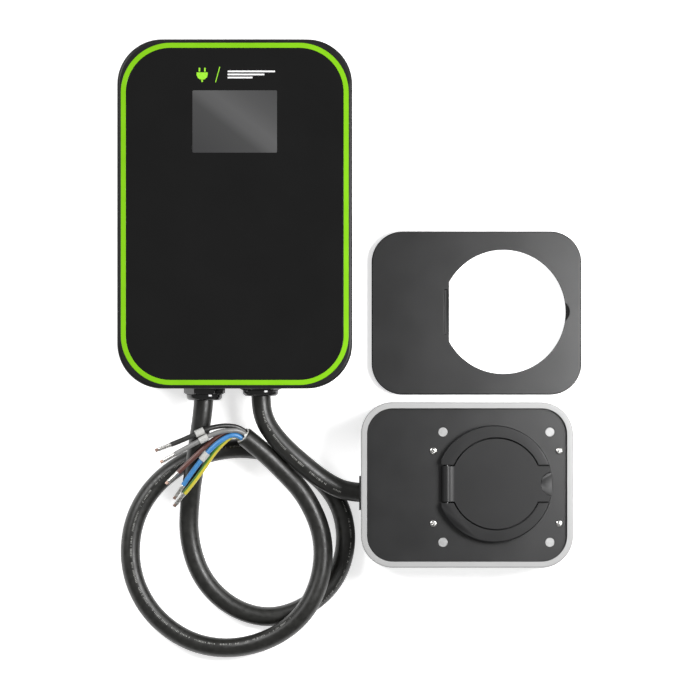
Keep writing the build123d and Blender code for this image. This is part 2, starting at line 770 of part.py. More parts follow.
with BuildPart() as socket_housing:
    slab(unit_w, unit_h, unit_corner, 0, unit_depth, unit_at)
    fillet(socket_housing.edges().group_by(Axis.Z)[-1], rim_rounding)
    slab(unit_w - 2 * unit_wall, unit_h - 2 * unit_wall, unit_corner - unit_wall, unit_back,
         ledge_bottom, unit_at, mode=Mode.SUBTRACT)
    slab(opening_w, opening_h, opening_corner, ledge_bottom, plate_seat, unit_at,
         mode=Mode.SUBTRACT)
    slab(plate_w, plate_h, plate_corner, plate_seat, unit_depth, unit_at, mode=Mode.SUBTRACT)
    posts(plate_post_r, unit_back, plate_level, plate_screws_at)
    posts(plate_screw_r - thread_bite, plate_level - plate_screw_length, plate_level,
          plate_screws_at, mode=Mode.SUBTRACT)
    for post_x in actuator_posts:
        block((post_x - actuator_post / 2, post_x + actuator_post / 2),
              (actuator_far - actuator_post, actuator_far), (unit_back, actuator_low))
    block((clamp_x - clamp_width / 2, clamp_x + clamp_width / 2),
          (inlet_y - clamp_length / 2, inlet_y + clamp_length / 2),
          (unit_back, inlet_level - face_gap))
    along((unit_left - overcut, inlet_y, inlet_level), (1, 0, 0), inlet_hole_r,
          unit_wall + 2 * overcut, mode=Mode.SUBTRACT)
    along((clamp_x - clamp_width / 2, inlet_y, inlet_level), (1, 0, 0), cable_d / 2 + running_gap,
          clamp_width, mode=Mode.SUBTRACT)
    posts(clamp_screw_r - thread_bite, inlet_level - clamp_hole_depth, inlet_level, clamp_ends,
          mode=Mode.SUBTRACT)
    posts(unit_bolt_r, 0, unit_back, unit_bolts, mode=Mode.SUBTRACT)
save(socket_housing.part, "socket_housing")

with BuildPart() as plate_gasket:
    slab(plate_w - 2 * panel_gap, plate_h - 2 * panel_gap, plate_corner, plate_seat, plate_level,
         unit_at)
    slab(opening_w, opening_h, opening_corner, plate_seat, plate_level, unit_at,
         mode=Mode.SUBTRACT)
    posts(plate_post_r + fit_gap, plate_seat, plate_level, plate_screws_at, mode=Mode.SUBTRACT)
save(plate_gasket.part, "plate_gasket")

with BuildPart() as socket_plate:
    slab(plate_w - 2 * panel_gap, plate_h - 2 * panel_gap, plate_corner, plate_level, plate_face,
         unit_at)
    posts(socket_barrel_r + fit_gap, plate_level, plate_face, [(socket_x, ring_y)],
          mode=Mode.SUBTRACT)
    posts(plate_screw_r + screw_room, plate_level, plate_face, plate_screws_at,
          mode=Mode.SUBTRACT)
    posts(magnet_r + running_gap, plate_face + magnet_proud - magnet_thick, plate_face, magnets_at,
          mode=Mode.SUBTRACT)
save(socket_plate.part, "socket_plate")

with BuildPart() as plate_screws:
    posts(plate_screw_head_r, plate_face, plate_face + plate_screw_head, plate_screws_at)
    fillet(plate_screws.edges().group_by(Axis.Z)[-1], plate_screw_rounding)
    posts(plate_screw_r - thread_bite, plate_face - plate_screw_length, plate_face,
          plate_screws_at)
    for x, y in plate_screws_at:
        for slot_x, slot_y in ((cross_length, cross_width), (cross_width, cross_length)):
            block((x - slot_x / 2, x + slot_x / 2), (y - slot_y / 2, y + slot_y / 2),
                  (plate_face + cross_floor, plate_face + plate_screw_head), mode=Mode.SUBTRACT)
save(plate_screws.part, "plate_screws")

with BuildPart() as magnets:
    posts(magnet_r, plate_face + magnet_proud - magnet_thick, plate_face + magnet_proud, magnets_at)
save(magnets.part, "magnets")

# ================================================================ socket with its lid
socket_at = (socket_x, ring_y)
lid_seat = collar_top - lid_thick - face_gap
socket_bottom = collar_top - socket_barrel_length - ring_height
floor_top = socket_bottom + socket_floor
hinge_x = ring_x + barrel_x
hinge_level = plate_face + barrel_level
hinge_right = hinge_x + barrel_r + barrel_room
flat_x = ring_x - ring_flat
ring_right = ring_x + ring_r
band_half = lid_band / 2
band_opening = (ring_y - band_half - lid_gap, ring_y + band_half + lid_gap)
contacts_at = [(socket_x + dx, ring_y + dy) for dx, dy in
               ((-contact_pitch, 0), (0, 0), (contact_pitch, 0), (-contact_low_x, contact_low_y),
                (contact_low_x, contact_low_y))]
pilots_at = [(socket_x - pilot_x, ring_y + pilot_y), (socket_x + pilot_x, ring_y + pilot_y)]


def collar_outline(level):
    """The round collar with its flat on the hinge side."""
    with BuildSketch(Plane.XY.offset(level)) as outline:
        with Locations((ring_x, ring_y)):
            Circle(ring_r)
        with Locations((flat_x, ring_y)):
            Rectangle(2 * ring_r, 3 * ring_r, align=(Align.MAX, Align.CENTER), mode=Mode.SUBTRACT)
    return outline.sketch


with BuildPart() as socket_body:
    extrude(collar_outline(plate_face), amount=ring_height)
    fillet(socket_body.edges().group_by(Axis.Z)[-1], ring_rounding)
    posts(socket_barrel_r, socket_bottom, plate_face, [socket_at])
    posts(socket_bore_r, floor_top, collar_top, [socket_at], mode=Mode.SUBTRACT)
    posts(lid_r + lid_gap, lid_seat, collar_top, [socket_at], mode=Mode.SUBTRACT)
    block((flat_x - overcut, ring_right + overcut), band_opening, (lid_seat, collar_top),
          mode=Mode.SUBTRACT)
    block((flat_x - overcut, hinge_right), band_opening, (plate_face, collar_top),
          mode=Mode.SUBTRACT)
    posts(scoop_r, lid_seat - scoop_depth, lid_seat, [(ring_right, ring_y)], mode=Mode.SUBTRACT)
    along((hinge_x, ring_y - band_half - lid_gap - hinge_pin_grip, hinge_level), (0, 1, 0),
          hinge_pin_r, lid_band + 2 * lid_gap + 2 * hinge_pin_grip, mode=Mode.SUBTRACT)
    posts(contact_r + running_gap, socket_bottom, floor_top, contacts_at, mode=Mode.SUBTRACT)
    posts(pilot_r + running_gap, socket_bottom, floor_top, pilots_at, mode=Mode.SUBTRACT)
    along((socket_x, ring_y, pin_axis), (0, 1, 0), pin_r + running_gap,
          socket_barrel_r + overcut, mode=Mode.SUBTRACT)
save(socket_body.part, "socket_body")

with BuildPart() as socket_ring_nut:
    posts(ring_nut_r, plate_level - ring_nut_thick, plate_level, [socket_at])
    posts(socket_barrel_r + running_gap, plate_level - ring_nut_thick, plate_level, [socket_at],
          mode=Mode.SUBTRACT)
save(socket_ring_nut.part, "socket_ring_nut")

with BuildPart() as contact_carrier:
    with BuildSketch(Plane.XY.offset(floor_top)):
        with Locations(socket_at):
            Circle(carrier_r)
        with Locations((socket_x, ring_y + carrier_flat)):
            Rectangle(3 * carrier_r, carrier_r, align=(Align.CENTER, Align.MIN), mode=Mode.SUBTRACT)
    extrude(amount=carrier_height)
    chamfer(contact_carrier.edges().group_by(Axis.Z)[-1], carrier_chamfer)
    posts(contact_r + running_gap, floor_top, floor_top + carrier_height - contact_set_back,
          contacts_at, mode=Mode.SUBTRACT)
    posts(pilot_r + running_gap, floor_top, floor_top + carrier_height - contact_set_back,
          pilots_at, mode=Mode.SUBTRACT)
    posts(contact_bore_r + face_gap, floor_top, floor_top + carrier_height, contacts_at,
          mode=Mode.SUBTRACT)
    posts(pilot_bore_r + face_gap, floor_top, floor_top + carrier_height, pilots_at, mode=Mode.SUBTRACT)
save(contact_carrier.part, "contact_carrier")

contact_bottom = socket_bottom - contact_tail
contact_top = floor_top + carrier_height - contact_set_back
with BuildPart() as power_contacts:
    posts(contact_r, contact_bottom, contact_top, contacts_at)
    posts(contact_bore_r, floor_top, contact_top, contacts_at, mode=Mode.SUBTRACT)
save(power_contacts.part, "power_contacts")

with BuildPart() as pilot_contacts:
    posts(pilot_r, contact_bottom, contact_top, pilots_at)
    posts(pilot_bore_r, floor_top, contact_top, pilots_at, mode=Mode.SUBTRACT)
save(pilot_contacts.part, "pilot_contacts")

lid_bottom = lid_seat + face_gap
seal_level = lid_bottom + seal_groove
with BuildPart() as lid:
    posts(lid_r, lid_bottom, collar_top, [socket_at])
    chamfer(lid.edges().group_by(Axis.Z)[0], lid_edge_chamfer)
    with BuildSketch(Plane.XY.offset(lid_bottom)) as band:
        with Locations((ring_x, ring_y)):
            Circle(ring_r - ring_rounding / 2)
        with Locations((hinge_x, ring_y)):
            Rectangle(3 * ring_r, lid_band, align=(Align.MIN, Align.CENTER), mode=Mode.INTERSECT)
    extrude(band.sketch, amount=lid_thick)
    along((hinge_x, ring_y - band_half, hinge_level), (0, 1, 0), barrel_r, lid_band)
    posts(scoop_r, lid_bottom, collar_top, [(ring_right, ring_y)], mode=Mode.SUBTRACT)
    along((hinge_x, ring_y - band_half, hinge_level), (0, 1, 0), hinge_pin_r + running_gap, lid_band,
          mode=Mode.SUBTRACT)
    along((hinge_x, ring_y - spring_space / 2, hinge_level), (0, 1, 0),
          spring_coil_r + spring_wire_r + 2 * face_gap, spring_space, mode=Mode.SUBTRACT)
    posts(seal_out_r + running_gap, lid_bottom, seal_level, [socket_at], mode=Mode.SUBTRACT)
    posts(seal_in_r - running_gap, lid_bottom, seal_level, [socket_at])
save(lid.part, "lid")

with BuildPart() as lid_seal:
    posts(seal_out_r, lid_bottom, seal_level, [socket_at])
    posts(seal_in_r, lid_bottom, seal_level, [socket_at], mode=Mode.SUBTRACT)
save(lid_seal.part, "lid_seal")

with BuildPart() as hinge_pin:
    along((hinge_x, ring_y - band_half - lid_gap - hinge_pin_grip, hinge_level), (0, 1, 0),
          hinge_pin_r, lid_band + 2 * lid_gap + 2 * hinge_pin_grip)
save(hinge_pin.part, "hinge_pin")

coil_height = spring_space - 2 * spring_wire_r - 2 * spring_end_room
with BuildPart() as lid_spring:
    coil_foot = (hinge_x, ring_y - coil_height / 2, hinge_level)
    with BuildLine() as coil:
        Helix(spring_pitch, coil_height, spring_coil_r, center=coil_foot, direction=(0, 1, 0))
    with BuildSketch(Plane(origin=coil.line @ 0, z_dir=coil.line % 0)):
        Circle(spring_wire_r)
    sweep(path=coil.line, is_frenet=True)
save(lid_spring.part, "lid_spring")

# ================================================================ plug lock
pin_tip = ring_y + socket_bore_r + pin_set_back
with BuildPart() as lock_pin:
    along((socket_x, pin_tip, pin_axis), (0, 1, 0), pin_r, pin_length)
    chamfer(lock_pin.edges().group_by(Axis.Y)[0], pin_chamfer)
save(lock_pin.part, "lock_pin")

with BuildPart() as lock_actuator:
    block((socket_x - actuator_w / 2, socket_x + actuator_w / 2), (actuator_near, actuator_far),
          (actuator_low, actuator_low + actuator_h))
    fillet(lock_actuator.edges().filter_by(Axis.Y), actuator_rounding)
    along((socket_x, ring_y + socket_barrel_r + face_gap, pin_axis), (0, 1, 0), actuator_nose_r,
          actuator_y - socket_barrel_r)
    along((socket_x, ring_y + socket_barrel_r, pin_axis), (0, 1, 0), pin_r + running_gap,
          pin_tip + pin_length + pin_end_room - ring_y - socket_barrel_r, mode=Mode.SUBTRACT)
save(lock_actuator.part, "lock_actuator")

# ================================================================ cable inlet, clamp and cores
with BuildPart() as cable_inlet_seal:
    along((unit_left - inlet_flange, inlet_y, inlet_level), (1, 0, 0), inlet_flange_r, inlet_flange)
    along((unit_left, inlet_y, inlet_level), (1, 0, 0), inlet_hole_r - running_gap, unit_wall)
    along((unit_left - inlet_flange, inlet_y, inlet_level), (1, 0, 0), cable_d / 2 + fit_gap,
          unit_wall + inlet_flange, mode=Mode.SUBTRACT)
save(cable_inlet_seal.part, "cable_inlet_seal")

clamp_top = inlet_level + clamp_height
with BuildPart() as cable_clamp:
    block((clamp_x - clamp_width / 2, clamp_x + clamp_width / 2),
          (inlet_y - clamp_length / 2, inlet_y + clamp_length / 2),
          (inlet_level + face_gap, clamp_top))
    along((clamp_x - clamp_width / 2, inlet_y, inlet_level), (1, 0, 0), cable_d / 2 + running_gap,
          clamp_width, mode=Mode.SUBTRACT)
    posts(clamp_screw_r + fit_gap, inlet_level, clamp_top, clamp_ends, mode=Mode.SUBTRACT)
save(cable_clamp.part, "cable_clamp")

with BuildPart() as clamp_screws:
    posts(clamp_screw_head_r, clamp_top, clamp_top + clamp_screw_head, clamp_ends)
    posts(clamp_screw_r - thread_bite, inlet_level - clamp_screw_depth, clamp_top, clamp_ends)
save(clamp_screws.part, "clamp_screws")

socket_starts, _ = core_starts(output_route[-1], (1, 0, 0), turn=90)
core_levels = (24.0, 17.0, 10.0, 9.0, 20.0)
core_contacts = (0, 1, 2, 4, 3)
core_bend_x = socket_x - core_bend_offset
socket_wires = []
for start, level, contact in zip(socket_starts, core_levels, core_contacts):
    x, y = contacts_at[contact]
    points = [tuple(start), (start.X + core_lead_in, start.Y, start.Z), (core_bend_x, y, level),
              (x, y, level), (x, y, contact_bottom)]
    socket_wires.append(tube(points, core_d)[0])
save(Compound(children=socket_wires), "socket_cores")

# ================================================================ cover plate
cover_w = unit_w - 2 * cover_inset
cover_h = unit_h - 2 * cover_inset
cover_corner = unit_corner - cover_inset
cover_at = (cover_x, cover_y)
cover_level = plate_recess
cover_top = cover_level + cover_thick
hole_at = (cover_x + ring_x - unit_x, cover_y + ring_y - unit_y)
hole_flat = hole_at[0] - ring_flat - cover_flat_gap
disc_top = magnet_proud + cover_disc
rib_w = plate_w - 2 * panel_gap - 2 * cover_rib_gap
rib_h = plate_h - 2 * panel_gap - 2 * cover_rib_gap
discs_at = [(x - unit_x + cover_x, y - unit_y + cover_y) for x, y in magnets_at]

with BuildPart() as cover_plate:
    slab(cover_w, cover_h, cover_corner, cover_level, cover_top, cover_at)
    chamfer(cover_plate.edges().group_by(Axis.Z)[-1], cover_chamfer)
    slab(rib_w, rib_h, plate_corner - cover_rib_gap, 0, cover_level, cover_at)
    slab(rib_w - 2 * cover_rib, rib_h - 2 * cover_rib, plate_corner - cover_rib_gap - cover_rib, 0,
         cover_level, cover_at, mode=Mode.SUBTRACT)
    posts(cover_boss_r, disc_top, cover_level, discs_at)
    with BuildSketch(Plane.XY) as hole:
        with Locations(hole_at):
            Circle(cover_hole_r)
        with Locations((hole_flat, hole_at[1])):
            Rectangle(2 * ring_r, 3 * ring_r, align=(Align.MAX, Align.CENTER), mode=Mode.SUBTRACT)
    extrude(hole.sketch, amount=cover_top, mode=Mode.SUBTRACT)
    block((hole_flat - hinge_relief_w, hole_flat + overcut),
          (hole_at[1] - hinge_relief_h / 2, hole_at[1] + hinge_relief_h / 2),
          (cover_top - hinge_relief_depth, cover_top), mode=Mode.SUBTRACT)
    posts(notch_r, cover_top - notch_depth, cover_top,
          [(hole_at[0] + cover_hole_r + notch_reach - notch_r, hole_at[1])], mode=Mode.SUBTRACT)
save(cover_plate.part, "cover_plate")

with BuildPart() as cover_discs:
    posts(cover_disc_r, magnet_proud, disc_top, discs_at)
save(cover_discs.part, "cover_discs")

print(f"supply cable {supply_length:.0f} mm, smallest arc {min(supply_radii):.0f} mm")
print(f"output cable {output_length:.0f} mm, smallest arc {min(output_radii):.0f} mm")
for label, cord, length in (("supply", supply_cable, supply_length),
                            ("output", output_cable, output_length)):
    print(f"{label} volume ratio {cord.volume / (math.pi * cable_d ** 2 / 4 * length):.4f}")
for name, length in wire_lengths.items():
    print(f"{name} {length:.0f} mm")
print("arcs of the supply cable:", [round(radius) for radius in supply_radii])
print("arcs of the output cable:", [round(radius) for radius in output_radii])
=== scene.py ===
import math

import bmesh
import bpy
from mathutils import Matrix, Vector


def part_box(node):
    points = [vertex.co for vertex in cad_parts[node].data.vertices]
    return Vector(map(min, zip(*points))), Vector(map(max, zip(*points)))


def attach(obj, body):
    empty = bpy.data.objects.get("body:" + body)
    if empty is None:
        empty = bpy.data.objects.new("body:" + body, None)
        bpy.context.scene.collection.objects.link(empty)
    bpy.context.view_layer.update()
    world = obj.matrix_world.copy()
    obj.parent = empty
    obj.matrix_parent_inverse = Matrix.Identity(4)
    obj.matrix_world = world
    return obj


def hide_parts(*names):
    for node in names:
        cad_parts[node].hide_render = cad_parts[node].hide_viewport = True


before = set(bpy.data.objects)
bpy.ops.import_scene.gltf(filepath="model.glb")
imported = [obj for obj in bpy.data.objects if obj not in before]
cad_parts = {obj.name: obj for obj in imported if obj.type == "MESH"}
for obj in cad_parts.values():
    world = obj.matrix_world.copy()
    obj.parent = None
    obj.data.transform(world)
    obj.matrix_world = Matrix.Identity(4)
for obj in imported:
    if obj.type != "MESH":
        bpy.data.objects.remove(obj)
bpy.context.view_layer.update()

scene = bpy.context.scene

# The camera looks straight down through a long lens. The key light stands at the upper left, a
# broad fill at the upper right, and a small lamp hangs above the socket unit.
view_centre = Vector((0.0973, -0.1149, 0.0))
view_width = 0.592
framed_level = 0.06
camera_height = 16.0


def stand(name, data):
    """A new object in the scene, with the data it shows."""
    thing = bpy.data.objects.new(name, data)
    scene.collection.objects.link(thing)
    return thing


camera_data = bpy.data.cameras.new("camera")
camera_data.sensor_width = 36.0
camera_data.lens = camera_data.sensor_width * (camera_height - framed_level) / view_width
camera_data.clip_end = 50.0
camera = stand("camera", camera_data)
camera.location = view_centre + Vector((0, 0, camera_height))
scene.camera = camera
scene.view_settings.view_transform = "Standard"


def new_finish(name):
    """An empty finish: the material, its nodes, its links and its shader."""
    material = bpy.data.materials.new(name)
    material.use_nodes = True
    nodes = material.node_tree.nodes
    return material, nodes, material.node_tree.links, nodes["Principled BSDF"]


bench_half = 6.0
bench_level = -0.0006
bench_mesh = bpy.data.meshes.new("bench")
bench_mesh.from_pydata([(x * bench_half, y * bench_half, bench_level)
                        for x, y in ((-1, -1), (1, -1), (1, 1), (-1, 1))], [], [(0, 1, 2, 3)])
bench = stand("bench", bench_mesh)
bench_paint, nodes, links, shader = new_finish("bench_paint")
for socket, value in (("Base Color", (0.93, 0.93, 0.93, 1)), ("Roughness", 0.9),
                      ("Specular IOR Level", 0.1), ("Emission Color", (1, 1, 1, 1)),
                      ("Emission Strength", 0.62)):
    shader.inputs[socket].default_value = value
bench_mesh.materials.append(bench_paint)

world = bpy.data.worlds.new("studio")
world.use_nodes = True
world.node_tree.nodes["Background"].inputs["Color"].default_value = (1, 1, 1, 1)
world.node_tree.nodes["Background"].inputs["Strength"].default_value = 0.32
scene.world = world


def soft_light(name, place, size, power):
    """A square studio light that faces the middle of the bench."""
    data = bpy.data.lights.new(name, "AREA")
    data.size = size
    data.energy = power
    light = stand(name, data)
    light.location = place
    light.rotation_euler = (view_centre - Vector(place)).to_track_quat("-Z", "Y").to_euler()


soft_light("key", (-0.9, 0.5, 1.2), 0.5, 15)
soft_light("fill", (1.6, 0.9, 1.4), 1.2, 9)
soft_light("side", (0.53, -0.10, 0.76), 0.3, 8.5)

# ---------------------------------------------------------------- supply cable
# Five-core flexible cable in an extruded black rubber jacket, 16.4 mm across. It leaves the left
# gland, makes two loops and ends at a cut face where the cores come out.
cable_d = 0.0164


def speckle(nodes, links, source, size, detail=3.0, stretch=(1, 1, 1)):
    """A noise with features of one size in metres."""
    place = nodes.new("ShaderNodeMapping")
    place.inputs["Scale"].default_value = stretch
    noise = nodes.new("ShaderNodeTexNoise")
    noise.inputs["Scale"].default_value = 1 / size
    noise.inputs["Detail"].default_value = detail
    links.new(source, place.inputs["Vector"])
    links.new(place.outputs["Vector"], noise.inputs["Vector"])
    return noise.outputs["Fac"]


def spread(nodes, links, source, low, high, start=0.3, end=0.7):
    """Maps a noise onto a range."""
    spread_node = nodes.new("ShaderNodeMapRange")
    for title, value in (("From Min", start), ("From Max", end), ("To Min", low), ("To Max", high)):
        spread_node.inputs[title].default_value = value
    links.new(source, spread_node.inputs["Value"])
    return spread_node.outputs["Result"]


def two_tone(nodes, links, factor, first, second):
    """A colour between two colours."""
    mix = nodes.new("ShaderNodeMix")
    mix.data_type = "RGBA"
    mix.inputs["A"].default_value = (*first, 1)
    mix.inputs["B"].default_value = (*second, 1)
    links.new(factor, mix.inputs["Factor"])
    return mix.outputs["Result"]


def relief(nodes, links, shader, height, depth, strength=0.5, base=None):
    """Bump from a height, in metres."""
    bump = nodes.new("ShaderNodeBump")
    bump.inputs["Distance"].default_value = depth
    bump.inputs["Strength"].default_value = strength
    links.new(height, bump.inputs["Height"])
    if base is not None:
        links.new(base, bump.inputs["Normal"])
    links.new(bump.outputs["Normal"], shader.inputs["Normal"])


def extruded_finish(name, dark, light, gloss, streak=0.0011):
    """Extruded rubber or insulation, with faint draw lines along its length on its own UV map."""
    material, nodes, links, shader = new_finish(name)
    uv = nodes.new("ShaderNodeUVMap")
    uv.uv_map = "along"
    place = nodes.new("ShaderNodeTexCoord").outputs["Object"]
    lines = speckle(nodes, links, uv.outputs["UV"], streak, 2.0, (0.04, 0.03, 1))
    dust = speckle(nodes, links, place, 0.004, 5.0)
    pores = speckle(nodes, links, place, 0.00035, 2.0)
    links.new(two_tone(nodes, links, spread(nodes, links, dust, 0, 1), dark, light),
              shader.inputs["Base Color"])
    links.new(spread(nodes, links, dust, gloss - 0.07, gloss + 0.09), shader.inputs["Roughness"])
    both = nodes.new("ShaderNodeMath")
    both.operation = "ADD"
    links.new(lines, both.inputs[0])
    links.new(pores, both.inputs[1])
    relief(nodes, links, shader, both.outputs[0], 0.00006, 0.45)
    return material


def spline_line(points, steps=10):
    """The smooth line of a route, as points in metres along its NURBS spline."""
    curve = bpy.data.curves.new("route", "CURVE")
    curve.dimensions = "3D"
    spline = curve.splines.new("NURBS")
    spline.points.add(len(points) - 1)
    for knot, point in zip(spline.points, points):
        knot.co = (point[0] / 1000, point[1] / 1000, point[2] / 1000, 1)
    spline.order_u = 3
    spline.use_endpoint_u = True
    spline.resolution_u = steps
    route = stand("route", curve)
    mesh = bpy.data.meshes.new_from_object(route.evaluated_get(bpy.context.evaluated_depsgraph_get()))
    line = [vertex.co.copy() for vertex in mesh.vertices]
    bpy.data.objects.remove(route)
    bpy.data.meshes.remove(mesh)
    return line


def frames_along(line):
    """For each point of a line, its direction and two directions across it that don't twist."""
    ways = [(line[min(i + 1, len(line) - 1)] - line[max(i - 1, 0)]).normalized()
            for i in range(len(line))]
    side = ways[0].cross(Vector((0, 0, 1))).normalized()
    frames = []
    for way in ways:
        side = (side - way * side.dot(way)).normalized()
        frames.append((way, side, side.cross(way).normalized()))
    return frames


def add_piece(name, mesh, material, body="root", smooth=40):
    """Links a finished mesh as a piece of one body."""
    piece = stand(name, mesh)
    if material is not None:
        mesh.materials.clear()
        mesh.materials.append(material)
    mesh.polygons.foreach_set("use_smooth", [True] * len(mesh.polygons))
    mesh.set_sharp_from_angle(angle=math.radians(smooth))
    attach(piece, body)
    return piece


def outward_mesh(work, name):
    """The mesh of a finished shape, its faces turned outward."""
    bmesh.ops.recalc_face_normals(work, faces=work.faces)
    mesh = bpy.data.meshes.new(name)
    work.to_mesh(mesh)
    work.free()
    return mesh


def swept_tube(name, line, radius, sides, material, end_round=0.0008):
    """A round cord along a line, its ends rounded over and closed, with a UV map along it."""
    frames = frames_along(line)
    rings, travelled, run = [], 0.0, []
    for i, point in enumerate(line):
        if i:
            travelled += (point - line[i - 1]).length
        run.append(travelled)
    stations = [(line[0], frames[0], radius - end_round, 0.0)]
    stations += [(line[0] + frames[0][0] * end_round, frames[0], radius, end_round)]
    stations += [(line[i], frames[i], radius, run[i]) for i in range(1, len(line) - 1)]
    stations += [(line[-1] - frames[-1][0] * end_round, frames[-1], radius, run[-1] - end_round)]
    stations += [(line[-1], frames[-1], radius - end_round, run[-1])]
    work = bmesh.new()
    uv = work.loops.layers.uv.new("along")
    for centre, (way, side, rise), r, _ in stations:
        rings.append([work.verts.new(centre + (side * math.cos(a) + rise * math.sin(a)) * r)
                      for a in (2 * math.pi * k / sides for k in range(sides))])
    for s in range(len(stations) - 1):
        for k in range(sides):
            n = (k + 1) % sides
            face = work.faces.new((rings[s][k], rings[s][n], rings[s + 1][n], rings[s + 1][k]))
            for loop, (u, v) in zip(face.loops, ((k, s), (k + 1, s), (k + 1, s + 1), (k, s + 1))):
                loop[uv].uv = (u / sides, stations[v][3])
    work.faces.new(reversed(rings[0]))
    work.faces.new(rings[-1])
    return add_piece(name, outward_mesh(work, name), material)


supply_route = [
    (-26, -131, 36), (-26, -152, 36), (-28.2, -173.5, 36), (-33, -205, 29), (-38.5, -240, 13),
    (-40, -275, 8.3), (-29, -309, 8.3), (-4.5, -333.5, 8.3), (28, -343.5, 8.3), (61.5, -333.5, 8.3),
    (86.5, -309, 8.3), (95.8, -275, 8.3), (87.5, -240.5, 8.3), (62, -214.5, 8.3), (29, -200, 8.3),
    (-6, -197.5, 8.3), (-41, -207.5, 8.3), (-71.5, -231, 8.3), (-88.5, -264, 8.3),
    (-89.5, -303, 8.3), (-73, -338, 8.3), (-41.5, -362.5, 8.3), (-5, -369.5, 9), (32.5, -360, 19),
    (60, -338, 27.3), (74, -306, 27.3), (75, -272, 26), (60.5, -238.5, 27.3), (38.5, -215, 28),
    (21, -198.5, 32), (7.2, -187.6, 38),
]
supply_line = spline_line(supply_route)
rubber_jacket = extruded_finish("rubber_jacket", (0.007, 0.007, 0.006), (0.013, 0.013, 0.0112),
                                0.38)
supply_cable = swept_tube("supply_cable_jacket", supply_line, cable_d / 2, 40, rubber_jacket)
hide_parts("supply_cable")

# ---------------------------------------------------------------- output cable
# The same cable, much shorter. It leaves the right gland and goes into the socket unit's side
# through a rubber inlet.
output_route = [
    (21.5, -131, 36), (21.5, -152, 36), (23.5, -173, 36), (36, -191.5, 36), (55, -209.5, 35),
    (77, -227, 31.5), (97, -236, 30), (117, -236, 30),
]
output_line = spline_line(output_route)
output_cable = swept_tube("output_cable_jacket", output_line, cable_d / 2, 40, rubber_jacket)
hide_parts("output_cable")

# ---------------------------------------------------------------- print along the cables
# A line of small white ink strokes along each jacket, in groups with gaps between them. The
# strokes are plain and spell nothing. Ink stands 0.04 mm proud of the rubber.
group_pitch = 17
group_strokes = 14
worn_share = 0.16
stroke_depth = 0.00006
stroke_lift = 0.00001


def worn_finish(name, size, detail, dark, light, gloss, depth, strength, metal=0.0):
    """A finish in patches of two tones that also vary its gloss and its relief."""
    material, nodes, links, shader = new_finish(name)
    shader.inputs["Metallic"].default_value = metal
    patches = speckle(nodes, links, nodes.new("ShaderNodeTexCoord").outputs["Object"], size, detail)
    links.new(two_tone(nodes, links, spread(nodes, links, patches, 0, 1), dark, light),
              shader.inputs["Base Color"])
    links.new(spread(nodes, links, patches, *gloss), shader.inputs["Roughness"])
    relief(nodes, links, shader, patches, depth, strength)
    return material


def new_tree(name, taken, settings):
    """A node tree with a geometry input and named settings: the tree, its ports by title, a way to
    add nodes, a way to link them, and its input node."""
    tree = bpy.data.node_groups.new(name, "GeometryNodeTree")
    tree.interface.new_socket(taken, in_out="INPUT", socket_type="NodeSocketGeometry")
    ports = {}
    for title, kind, value in settings:
        socket = tree.interface.new_socket(title, in_out="INPUT", socket_type="NodeSocket" + kind)
        if value is not None:
            socket.default_value = value
        ports[title] = socket.identifier

    def link(source, out, target, into):
        tree.links.new(source.outputs[out], target.inputs[into])

    return tree, ports, tree.nodes.new, link, tree.nodes.new("NodeGroupInput")


def end_tree(tree, link, given, place, made):
    """Ends a tree: its copies made real, in the finish that was given."""
    tree.interface.new_socket(made, in_out="OUTPUT", socket_type="NodeSocketGeometry")
    real, paint, result = (tree.nodes.new(kind) for kind in (
        "GeometryNodeRealizeInstances", "GeometryNodeSetMaterial", "NodeGroupOutput"))
    link(place, "Instances", real, "Geometry")
    link(real, "Geometry", paint, "Geometry")
    link(given, "Finish", paint, "Material")
    link(paint, "Geometry", result, made)


